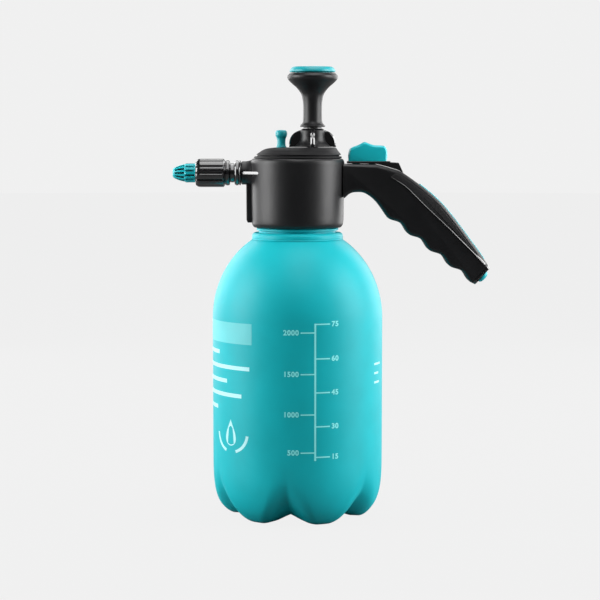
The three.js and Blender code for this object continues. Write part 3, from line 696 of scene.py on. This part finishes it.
def head_cover():
    dome = [
        (32.4, 278), (31.7, 278.9), (30.4, 280), (29, 281.3), (27.1, 282.5), (25.1, 283.1),
        (22.6, COVER_TOP),
    ]
    top = rounded(
        [
            (0, 278.4), (27.5, 278.4), (30.2, 276.4, 1), (30.2, 271), (32.6, 271, 0.3), (32.6, 275.3, 0),
            (33.7, 275.3, 0.15), (33.7, 276.1, 0.3), (33.1, 276.7, 0.1), (31.4, 276.8, 0.1),
            (31.4, 277.6, 0.1), (32.4, 277.8, 0.1),
        ],
        0.3,
        5,
    )
    profile = [*top, *[tuple(p) for p in spline(dome, 5)], (0, COVER_TOP)]
    cover = turned("head_dome", profile, columns=144)
    for vertex in cover.data.vertices:
        vertex.co.x += lean(vertex.co.z / MM) * MM
    flange = at["pump_barrel"].half_x
    cut(
        cover,
        peg("barrel", BARREL_R + 0.3, (PUMP_X, 0, 277), (PUMP_X, 0, COVER_TOP + 1), 96),
        peg("seat", flange + 0.3, (PUMP_X, 0, 281), (PUMP_X, 0, COVER_TOP + 1), 96),
        peg("relief", 4.2, (RELIEF_X, 0, 277), (RELIEF_X, 0, COVER_TOP + 1), 64),
    )
    return cover


put(head_cover(), "head", "black_plastic", "head_cover", material=DULL_BLACK)


FIN_BULGE = 2.8


def fin_edge(fin_r, foot, top, inner, steps=24):
    """A fin's edge: a quarter of a superellipse from the cover up to the tower."""
    arc = []
    for k in range(steps + 1):
        a = math.pi / 2 * k / steps
        r = fin_r * math.cos(a) ** (2 / FIN_BULGE) if k < steps else 0
        arc.append((max(inner, r), foot + (top - foot) * math.sin(a) ** (2 / FIN_BULGE)))
    return arc


def pump_nut():
    foot, top = at["pump_nut"].z0, at["pump_nut"].z1
    bore, tower_r = 4.5, 9.5
    fin_half = 1.6
    skirt_r = at["pump_barrel"].half_x + 0.5  # covers the barrel's flange, which the CAD nut doesn't
    tower = turned(
        "pump_tower",
        rounded(
            [
                (bore, foot), (skirt_r, foot, 0.2), (skirt_r, foot + 0.5, 0.3), (13.6, foot + 0.7, 0.3),
                (13.3, foot + 1.3, 0.4), (11.8, foot + 2.4, 1.6), (10.2, foot + 4.4, 2),
                (tower_r, foot + 7, 2), (tower_r, top - 1.6, 0.4), (7.3, top, 0.4), (bore, top, 0.3),
            ],
            0.3, 5, closed=True,
        ),
        x=PUMP_X, columns=96, closed=True,
    )
    arc = fin_edge(at["pump_nut"].half_x, foot, top - 0.5, 8.5)
    side = [*[(PUMP_X - r, z) for r, z in arc], *[(PUMP_X + r, z) for r, z in reversed(arc)]]
    fins = slab("fins", side, fin_half, 1, steps=1)
    across = slab("fins_across", side, fin_half, 1, steps=1)
    turn = Matrix.Translation((PUMP_X * MM, 0, 0)) @ Matrix.Rotation(math.pi / 2, 4, "Z")
    across.data.transform(turn @ Matrix.Translation((-PUMP_X * MM, 0, 0)))
    join(tower, fins, across)
    cut(tower, peg("bore", bore, (PUMP_X, 0, foot - 1), (PUMP_X, 0, top + 1), 64))

    def on_fin(x, y, z):
        past_tower = math.hypot(x - PUMP_X, y) > tower_r + 0.1
        return past_tower and min(abs(x - PUMP_X), abs(y)) < fin_half + 0.05

    return two_tone(tower, BLACK, GLOSS_BLACK, on_fin)


put(pump_nut(), "head", "black_plastic", "pump_nut")


def pump_barrel():
    flange_foot, top, foot = 281.3, COVER_TOP, at["pump_barrel"].z0
    bore, flange_r = BARREL_R - 1, at["pump_barrel"].half_x
    return turned(
        "pump_cylinder",
        rounded(
            [
                (2.1, foot), (BARREL_R, foot, 1.2), (BARREL_R, flange_foot, 0.3),
                (flange_r, flange_foot, 0.3), (flange_r, top, 0.3), (bore, top, 0.3),
                (bore, foot + 2, 0.5), (2.1, foot + 2, 0.3),
            ],
            0.3, 4, closed=True,
        ),
        x=PUMP_X, columns=96, closed=True,
    )


put(pump_barrel(), "head", "natural_plastic", "pump_barrel", material=NATURAL)

# ---- Pump knob and relief valve -------------------------------------------------------------------


def pump_knob():
    foot, top = at["pump_knob"].z0, at["pump_knob"].z1
    rim = at["pump_knob"].half_x
    outer = rounded(
        [(4.5, foot), (7, foot, 0.2), (7, foot + 0.7, 0.1), (9.5, foot + 0.7, 0.3), (9.7, foot + 1.3, 0.3),
         (9.5, foot + 1.9, 0.3), (8.1, foot + 3.1, 1.2), (7.3, foot + 5, 1.5), (7.15, foot + 9, 2)],
        0.4, 4)
    flare = spline([(7.15, 310), (7.3, 317), (8.3, 323), (10, 326.3), (12.4, 329.2), (14.9, 331.4),
                    (17.2, 333.5), (18.8, 335.3)], 5)
    edge = rounded([(18.8, 335.3), (rim, 336.9, 0.8), (rim - 0.2, 338.2, 0.6), (rim - 1, top, 0.4),
                    (rim - 1.9, top + 1.1, 0.3), (14, top + 1.1, 0.3), (14, 334, 0.3), (0, 334)], 0.4, 5)
    inner = [(0, 325.3), (4.5, 325.3)]
    return turned("knob_body", [*inner, *outer[:-1], *[tuple(p) for p in flare], *edge[1:]], x=PUMP_X,
                  columns=112)


def knob_cap():
    foot, top = at["knob_cap"].z0, at["knob_cap"].z1
    r = at["knob_cap"].half_x
    under = at["pump_knob"].z1 + 1.9
    profile = rounded(
        [(0, foot), (13.7, foot, 0.3), (13.7, under, 0.3), (r - 0.5, under, 0.3), (r, under + 0.5, 0.4),
         (r - 0.4, under + 2, 1), (r - 1.3, top - 1.3, 1), (r - 2.6, top - 0.2, 1.2), (r - 5, top - 0.1, 1),
         (9.6, top - 0.1, 0.5), (9.3, top - 0.7, 0.4), (8.7, top - 0.7, 0.4), (8.4, top - 0.1, 0.5),
         (0, top)],
        0.4, 5,
    )
    return turned("knob_disc", profile, x=PUMP_X, columns=112)


def relief_knob():
    foot = at["relief_valve_stem"].z0
    top = at["relief_valve_stem"].z1
    r = 3.9
    waist = spline([(r, 284), (r - 0.5, 285.4), (r - 0.65, 288), (r - 0.4, 290.4), (r + 0.35, 292)], 6)
    profile = [
        (0, foot), (4, foot), (4, foot + 1.1), (1.6, foot + 1.4), (1.6, 276),
        *rounded([(1.6, 276), (r, 276, 0.5), (r, 283.6)], 0.4, 4)[1:],
        *[tuple(p) for p in waist],
        *rounded([(r + 0.5, 292.3), (r + 0.7, 293.1, 0.4), (r + 0.7, 295.2, 0.9), (r - 0.1, 296.5, 0.8),
                  (0, top)], 0.4, 5),
    ]
    return turned("relief_knob", profile, x=RELIEF_X, columns=72)


put(pump_knob(), "pump", "black_plastic", "pump_knob", material=BLACK)
# The knob cap and the relief knob wear the darker copy of the cyan, as painted shade.
put(knob_cap(), "pump", "cyan_plastic", "knob_cap", material=SHADED_CYAN)
put(relief_knob(), "relief_valve", "cyan_plastic", "relief_valve_stem", material=SHADED_CYAN)

# ---- Nozzle ---------------------------------------------------------------------------------------


def on_nozzle(name, profile, columns=96, shape=None):
    """A profile of (r, x counted from the bottle's axis) turned about the nozzle's axis."""
    in_frame = [(r, x_of(x)) for r, x in profile]
    return turned(name, in_frame, columns=columns, shape=shape, along_x=True, z=NOZZLE_Z, closed=True)


def nozzle_pipe():
    return on_nozzle(
        "spout",
        rounded(
            [
                (1.6, -60), (6, -60, 0.5), (6, -51.6, 0.2), (7.25, -51.6, 0.4), (7.25, -48.5, 0.4),
                (6, -48.5, 0.2), (6, -29.5, 0.4), (2, -29.5, 0.3), (2, -24.5, 0.4), (1.2, -24.5, 0.2),
                (1.2, -52, 0.2), (1.6, -52, 0.2),
            ],
            0.3, 4, closed=True,
        ),
    )


def nozzle_collar():
    band = [
        (6.3, -48.2), (8.6, -48.2), (9.5, -47), (9.5, -45.4), (8.75, -45.3), (8.75, -45.1), (9.55, -44),
        (9.3, -43.6), (8.6, -43.5), (6.3, -43.5),
    ]
    return on_nozzle("spout_nut", rounded(band, 0.1, 2, closed=True))


SLEEVE_R = at["nozzle_sleeve"].half_y
SLEEVE_RIBS = 12


def nozzle_sleeve():
    body = [
        (6.3, -51.9), (8.9, -51.9, 0.4), (9.5, -52.5, 0.4), (9.6, -54.4, 0.4), (8.9, -55.1, 0.3),
        (9.3, -55.7, 0.3), (SLEEVE_R, -56.6, 0.9),
    ]
    barrel = [(SLEEVE_R, -57.2 - 17 * k / 24) for k in range(25)]
    steps = 10
    nose = [math.pi / 2 * k / steps for k in range(1, steps)]
    barrel += [(8.2 + (SLEEVE_R - 8.2) * math.cos(a), -74.2 - 4 * math.sin(a)) for a in nose]
    front = [(7.9, -78.2, 0.3), (7.8, -77, 0.2), (7.8, -60.6, 0.3), (6.3, -60.6, 0.3)]
    profile = rounded([*body, *barrel, *front], 0.3, 4, closed=True)

    def ribs(angle, r, h):
        along = (x_of(-56.2) - h) / (78.1 - 56.2)
        if r < 8 or not 0 < along < 1:
            return r
        fade = min(1, along / 0.06, (1 - along) / 0.03)
        away = abs(math.sin(SLEEVE_RIBS * angle / 2))  # 0 in the middle of a groove
        return r - fade * 1.05 * max(0, 1 - away / 0.56)

    return on_nozzle("sleeve_grip", profile, columns=288, shape=ribs)


FLUTES = 12
FRONT_SLOTS, REAR_SLOTS = (-94.2, -86.3), (-86.1, -79)  # from and to, in x from the bottle's axis


def nozzle_tip():
    cone = spline([(3.4, -95.3), (4.6, -93.4), (5.75, -90.6), (6.4, -88.2), (6.75, -86.1)], 8)
    skirt = [(7.25, -85.5 + 19.3 * k / 24) for k in range(25)]
    outer = [
        *rounded([(0.6, -95.7), (2.9, -95.7, 0.4), (3.4, -95.3)], 0.3, 4),
        *[tuple(p) for p in cone],
        (7.0, -85.95),
        *skirt,
        (7.2, -66),
    ]
    inner = [(4.9, -66), (4.9, -85.2), (1.5, -89), (0.6, -90.5)]
    profile = [*outer, *inner]

    def flutes(angle, r, h):
        x = h - AXIS_X
        lobe = math.cos(FLUTES * angle)
        if FRONT_SLOTS[0] < x < FRONT_SLOTS[1] and r > 3:
            fade = min(1, (x - FRONT_SLOTS[0]) / 1.2, (FRONT_SLOTS[1] - x) / 0.8)
            return r - 1.5 * fade * max(0, lobe) ** 0.45
        if REAR_SLOTS[0] < x < REAR_SLOTS[1] and r > 6.5:
            fade = min(1, (x - REAR_SLOTS[0]) / 0.8)
            return r - 1.2 * fade * max(0, -lobe) ** 0.45
        return r

    # The slot faces wear the near-black copy of the cyan: painted shade in the slots.
    def in_painted_slot_shade(x, y, z):
        lobe = math.cos(FLUTES * math.atan2(y, z - NOZZLE_Z))
        r, x = math.hypot(y, z - NOZZLE_Z), x - AXIS_X
        front = FRONT_SLOTS[0] + 0.4 < x < FRONT_SLOTS[1] - 0.3 and lobe > 0.1 and r > 2.8
        rear = REAR_SLOTS[0] + 0.5 < x < REAR_SLOTS[1] - 0.4 and lobe < -0.4 and r > 5.6
        return front or rear

    tip = on_nozzle("spray_tip", profile, columns=252, shape=flutes)
    return two_tone(tip, CYAN, PAINTED_SLOT_SHADE, in_painted_slot_shade)


put(nozzle_pipe(), "head", "black_plastic", "nozzle_pipe", material=GLOSS_BLACK)
put(nozzle_collar(), "head", "black_plastic", "nozzle_collar", material=GLOSS_BLACK)
put(nozzle_sleeve(), "sleeve", "black_plastic", "nozzle_sleeve", material=GLOSS_BLACK)
put(nozzle_tip(), "tip", "cyan_plastic", "nozzle_tip")

# ---- Grip -----------------------------------------------------------------------------------------
GRIP_HALF = 12.5
GRIP_EDGE = 3.2
GRIP_WALL = 2.4
END_CAP = 2.4
FINGERS = 4
FINGER_DEPTH = 2.7
END_TOP, END_LOW = (147.2, 191.8), (135.8, 179)
RIDGE_LOW, RIDGE_HIGH = (132.1, 180.9), (69, 229.8)
ROOT_X = 28
BACK = spline([(60, 270.7), (71, 267.8), (83, 262.6), (109.5, 241.3), (134, 210.4), END_TOP], 14)
ARCH = spline([RIDGE_HIGH, (60.1, 242), (51.6, 248.6), (44.6, 249.5), (40, 248.4), (36.4, 245.4)], 10)
GROOVE = spline([(71.1, 261.2), (78.2, 257.1), (84.8, 252.1), (98.3, 238.7), (116.7, 221.3),
                 (133.5, 204.6), (143.2, 194.6)], 8)


def outward_of_end():
    """The unit direction out of the end face, in (x, z)."""
    run = Vector(END_TOP) - Vector(END_LOW)
    return Vector((run.y, -run.x)).normalized()


END_OUT = outward_of_end()
END_MIDDLE = (Vector(END_TOP) + Vector(END_LOW)) / 2


def finger_normal():
    """The unit direction into the grip from its finger side."""
    side = (Vector(RIDGE_HIGH) - Vector(RIDGE_LOW)).normalized()
    return Vector((side.y, -side.x))


def finger_side(steps=20):
    low, high = Vector(RIDGE_LOW), Vector(RIDGE_HIGH)
    points = []
    for i in range(steps * FINGERS):
        t = i / (steps * FINGERS)
        depth = FINGER_DEPTH * math.sin(math.pi * FINGERS * t) ** 2
        points.append(low.lerp(high, t) + finger_normal() * depth)
    return points


def offset(points, by):
    """A clockwise run of points moved inwards."""
    return [Vector(p) + inward(points, i, closed=False) * by for i, p in enumerate(points)]


def grip_outline(past_end=0.0):
    """The grip's side view. It starts inside the head, and may run past its own end face."""
    far_end = [Vector(end) + END_OUT * past_end for end in (END_TOP, END_LOW)] if past_end else []
    root = [Vector((ROOT_X, 238)), Vector((ROOT_X, 271.1))]
    return [*BACK, *far_end, Vector(END_LOW), *finger_side(), *ARCH, *root]


def grip_cavity():
    """The inside of the grip's wall, with its finger side as one flat."""
    deep = finger_normal() * (GRIP_WALL + FINGER_DEPTH)
    back = offset(BACK, GRIP_WALL)
    arch = [p for p in offset(ARCH, GRIP_WALL) if p.x > 41]
    root_top, root_low = Vector((ROOT_X - 1, back[0].y)), Vector((ROOT_X - 1, 251.6))
    return [root_top, *back, Vector(END_LOW) + deep, Vector(RIDGE_LOW) + deep, *arch, root_low]


def end_block(depth):
    """A cutter for everything past a plane that lies this far inside the end face."""
    reach = block("past_end", (-depth, -40, -40), (40, 40, 40))
    turn = Matrix.Rotation(-math.atan2(END_OUT.y, END_OUT.x), 4, "Y")
    reach.data.transform(Matrix.Translation((x_of(END_MIDDLE.x) * MM, 0, END_MIDDLE.y * MM)) @ turn)
    return reach


def back_strip(name, start, stop, inner, outer, half, edge):
    """A strip along the back edge between two shares of its length."""
    count = len(BACK) - 1
    first, last = round(start * count), round(stop * count)
    outside = offset(BACK, -outer)[first : last + 1]
    inside = offset(BACK, inner)[first : last + 1]
    return slab(name, placed([*outside, *reversed(inside)]), half, edge)


SLOT = {"front": 38.8, "back": 70.2, "half": 7.4}
SCREWS = [(73, 249), (99, 230), (127, 202)]


def trigger_slot(foot):
    """A cutter for the slot that the trigger works in, from a height up."""
    half = SLOT["half"]
    return block("slot", (x_of(SLOT["front"]), -half, foot), (x_of(SLOT["back"]), half, 280))


def grip_shell(name, side):
    shell = slab(name, placed(grip_outline(6)), GRIP_HALF, GRIP_EDGE, 7)
    cavity = slab("cavity", placed(grip_cavity()), GRIP_HALF - GRIP_WALL, 1.5)
    bosses = [peg("boss", 3.8, (x_of(x), -11.5, z), (x_of(x), 11.5, z), 32) for x, z in SCREWS]
    cut(shell, cavity)
    join(shell, *bosses)
    seam = 0.12
    other_half = (-40, seam) if side > 0 else (-seam, 40)
    cutters = [
        peg("head", HEAD_R + 1, (AXIS_X, 0, 230), (AXIS_X, 0, 290), 144),
        trigger_slot(263),
        back_strip("seat", 0.47, 0.95, 1.8, 3, 5.3, 0.1),
        end_block(END_CAP + 0.3),
        block("half", (-200, other_half[0], 100), (200, other_half[1], 300)),
    ]
    for x, z in SCREWS:
        cutters.append(peg("hole", 1.7, (x_of(x), -9.4, z), (x_of(x), 14, z), 24))
        cutters.append(peg("head_hole", 3.3, (x_of(x), 9.6, z), (x_of(x), 14, z), 32))
    cut(shell, *cutters)
    return shell


put(grip_shell("grip_half_near", -1), "head", "black_plastic", "grip_shell_left", material=GRIP_BLACK)
put(grip_shell("grip_half_far", 1), "head", "black_plastic", "grip_shell_right", material=GRIP_BLACK)


def grain_panel(name, side):
    """The grained band between the side's groove line and the back edge, standing a little proud."""
    first = next(i for i, p in enumerate(BACK) if p.x > GROOVE[0].x + 4)
    last = next(i for i, p in enumerate(BACK) if p.x > GROOVE[-1].x - 1)
    outer = offset(BACK, GRIP_EDGE - 0.4)[first:last]
    outline = placed([*outer, *reversed(GROOVE)])
    return slab(name, outline, 0.45, 0.3, 4, y=side * (GRIP_HALF - 0.05))


def side_bead(name, side, path, facing):
    """A raised line on the grip's side: a ramp along a path. It faces inside the grip's outline where
    facing is 1, and outside it where facing is -1."""
    section = [(-0.3, -0.6), (-0.3, 0.65), (0.75, -0.25), (0.75, -0.6)]
    rings = []
    for i, point in enumerate(path):
        ring = []
        for across, out in section:
            moved = Vector(point) + inward(path, i, closed=False) * across * facing
            ring.append((x_of(moved.x), side * (GRIP_HALF + out), moved.y))
        rings.append(ring)
    return skin(name, rings, capped=True)


def end_line():
    """The straight run of the end bead, a little inside the end face and clear of its corners."""
    inset, clear = END_OUT * 0.8, (Vector(END_LOW) - Vector(END_TOP)).normalized() * 2.6
    first = Vector(END_TOP) - inset + clear
    last = Vector(END_LOW) - inset - clear
    return [first.lerp(last, k / 6) for k in range(7)]


def end_cap():
    cap = slab("end_cap", placed(grip_outline(6)), GRIP_HALF, GRIP_EDGE, 7)
    keep = end_block(END_CAP)
    past = end_block(0)
    modifier = cap.modifiers.new("end", "BOOLEAN")
    modifier.object = keep
    modifier.operation = "INTERSECT"
    modifier.solver = "MANIFOLD"
    settle(cap)
    bpy.data.objects.remove(keep)
    middle = Vector((x_of(END_MIDDLE.x), 0, END_MIDDLE.y))
    out = Vector((END_OUT.x, 0, END_OUT.y))
    cut(cap, past, peg("bore", 2.4, middle - out * 6, middle + out * 6, 32))
    return soften(cap, 0.7, 3)


def end_plug():
    profile = rounded(
        [(0, -4), (2, -4, 0.3), (2, 0.3, 0.1), (4.9, 0.3, 0.3), (4.9, 2, 0.6), (4, 3.2, 0.9),
         (2.6, 3.7, 0.8), (0, 3.88)],
        0.3, 5,
    )
    plug = turned("plug", profile, x=0, columns=64)
    turn = Matrix.Rotation(math.pi / 2 - math.atan2(END_OUT.y, END_OUT.x), 4, "Y")
    place = Matrix.Translation((x_of(END_MIDDLE.x) * MM, 0, END_MIDDLE.y * MM))
    plug.data.transform(place @ turn)
    return plug


def inlay():
    return back_strip("back_inlay", 0.48, 0.93, 1.5, 0.75, 5, 0.5)


for panel_name, panel_side in (("grip_grain_near", -1), ("grip_grain_far", 1)):
    put(grain_panel(panel_name, panel_side), "head", "black_plastic", material=GRAINED)
    for bead_name, path, facing in (("bead", GROOVE, -1), ("end_bead", end_line(), 1)):
        bead = side_bead(panel_name.replace("grain", bead_name), panel_side, path, facing)
        put(bead, "head", "black_plastic", material=GLOSS_BLACK)
put(end_cap(), "head", "black_plastic", "grip_end_cap", material=GLOSS_BLACK)
put(end_plug(), "head", "cyan_plastic", "end_plug", material=CYAN)
put(inlay(), "head", "cyan_plastic", "grip_inlay", material=CYAN)

# ---- Trigger --------------------------------------------------------------------------------------
TRIGGER_HALF = 7
PIN_X, PIN_Z = 45, 268
VALVE_X = 57


def thumb_trigger():
    top = spline([(39.2, 277.4), (40, 281.2), (42, 283.1), (46.7, 284.9), (49.8, 286.6), (51.7, 287.2),
                  (53.4, 286.5), (55.6, 285.6), (58.9, 284.7), (65, 284.4), (67.3, 283.1), (68.3, 279.9),
                  (68.2, 275)], 5)
    outline = placed([Vector((39.2, 272.2)), *top, Vector((67.6, 272.2))])
    pad = slab("thumb_pad", outline, TRIGGER_HALF, 1.5, 6, crown=0.5)
    join(
        pad,
        peg("hub", 3.2, (x_of(PIN_X), -4, PIN_Z), (x_of(PIN_X), 4, PIN_Z), 40),
        block("arm", (x_of(PIN_X - 3), -4, PIN_Z), (x_of(PIN_X + 3), 4, 274)),
        block("foot", (x_of(VALVE_X - 2.5), -3, 266.5), (x_of(VALVE_X + 2.5), 3, 274)),
    )
    cut(pad, peg("pin", 1.8, (x_of(PIN_X), -5, PIN_Z), (x_of(PIN_X), 5, PIN_Z), 32))
    return pad


def bezel():
    """The black strip and wedge round the trigger, lying on the grip's back edge."""
    seat = [p for i, p in enumerate(offset(BACK, -0.3)) if i <= 0.38 * (len(BACK) - 1)]
    outline = placed([
        Vector((38, 271.4)), Vector((38, 273)), Vector((70.8, 273)), Vector((70.8, 272.2)),
        Vector((77.3, 271.8)), *reversed(seat),
    ])
    strip = slab("trigger_surround", outline, 9.5, 0.5, 4)
    return cut(strip, trigger_slot(260))


put(thumb_trigger(), "trigger", "cyan_plastic", "thumb_trigger", material=CYAN)
put(bezel(), "head", "black_plastic", "trigger_bezel", material=GRIP_BLACK)

# ---- Inner pieces, kept as the CAD has them -------------------------------------------------------
KEPT = [
    (NATURAL, ["rod_bush", "piston", "pump_rod", "relief_valve_guide", "dip_tube", "strainer",
               "valve_stem", "nozzle_swirl_core"]),
    (HOSE, ["supply_hose", "delivery_hose"]),
    (RUBBER, ["neck_gasket", "barrel_seal", "check_valve", "piston_seal", "relief_valve_seal",
              "valve_seal", "nozzle_oring"]),
    (STEEL, ["relief_valve_spring", "valve_spring", "trigger_pin", "grip_screw_1", "grip_screw_2",
             "grip_screw_3"]),
    (BLACK, ["valve_body"]),
]

for kept_material, kept_nodes in KEPT:
    for kept_node in kept_nodes:
        node_object = frame["nodes"][kept_node]
        node_object.data.materials.clear()
        node_object.data.materials.append(kept_material)
        shade(node_object, 40)

# ---- Floor, light and camera ----------------------------------------------------------------------


MIDDLE = (AXIS_X * MM, 0, 0.17)


def pale_floor():
    """A pale matt floor that throws light up at the object. To the camera it has an even glow of its
    own instead, with a trace of shadow."""
    made = bpy.data.materials.new("pale_floor")
    made.use_nodes = True
    nodes, links = made.node_tree.nodes, made.node_tree.links
    shader = nodes["Principled BSDF"]
    shader.inputs["Roughness"].default_value = 0.9
    shader.inputs["Specular IOR Level"].default_value = 0
    shader.inputs["Emission Color"].default_value = (1, 1, 1, 1)
    seen = nodes.new("ShaderNodeLightPath").outputs["Is Camera Ray"]
    for socket, unseen, to_camera in (("Base Color", 0.17, 0.012), ("Emission Strength", 0, 0.855)):
        level = nodes.new("ShaderNodeMapRange")
        level.inputs["To Min"].default_value = unseen
        level.inputs["To Max"].default_value = to_camera
        links.new(seen, level.inputs["Value"])
        links.new(level.outputs["Result"], shader.inputs[socket])
    return made


def floor():
    disc = turned("floor", [(0, -0.3), (9000, -0.3)], x=0, columns=128)
    disc.data.materials.append(pale_floor())


def soft_light(name, place, width, height, power):
    """A soft panel of light at a place, in metres, turned to the middle of the object."""
    light = bpy.data.lights.new(name, "AREA")
    light.shape = "RECTANGLE"
    light.size, light.size_y = width, height
    light.energy = power
    obj = bpy.data.objects.new(name, light)
    obj.location = place
    obj.rotation_euler = (Vector(MIDDLE) - Vector(place)).to_track_quat("-Z", "Y").to_euler()
    bpy.context.scene.collection.objects.link(obj)


def world():
    """A dim even sky on the object, which the camera sees as a pale one."""
    made = bpy.data.worlds.new("studio")
    made.use_nodes = True
    nodes, links = made.node_tree.nodes, made.node_tree.links
    background = nodes["Background"]
    background.inputs["Color"].default_value = (0.9, 0.9, 0.9, 1)
    seen = nodes.new("ShaderNodeLightPath")
    level = nodes.new("ShaderNodeMapRange")
    level.inputs["To Min"].default_value = 0.05
    level.inputs["To Max"].default_value = 0.97
    links.new(seen.outputs["Is Camera Ray"], level.inputs["Value"])
    links.new(level.outputs["Result"], background.inputs["Strength"])
    bpy.context.scene.world = made


def camera():
    data = bpy.data.cameras.new("camera")
    data.lens = 114
    data.sensor_width = 36
    obj = bpy.data.objects.new("camera", data)
    obj.location = Vector((AXIS_X + 1.9, -1461, 289.6)) * MM
    obj.rotation_euler = (math.radians(85.17), 0, 0)
    bpy.context.scene.collection.objects.link(obj)
    bpy.context.scene.camera = obj


floor()
for side_name, side in (("left", -1), ("right", 1)):
    soft_light("soft_" + side_name, (side * 1.05, -0.15, 0.38), 0.7, 1.1, 16)
    soft_light("rear_" + side_name, (side * 0.8, 0.85, 0.35), 0.9, 1.3, 12)
soft_light("soft_corner", (0.9, -0.12, 1), 0.6, 0.6, 2.5)
soft_light("soft_top", (0.05, 0, 1.25), 2.6, 0.6, 14)
world()
camera()
bpy.context.scene.view_settings.view_transform = "Standard"
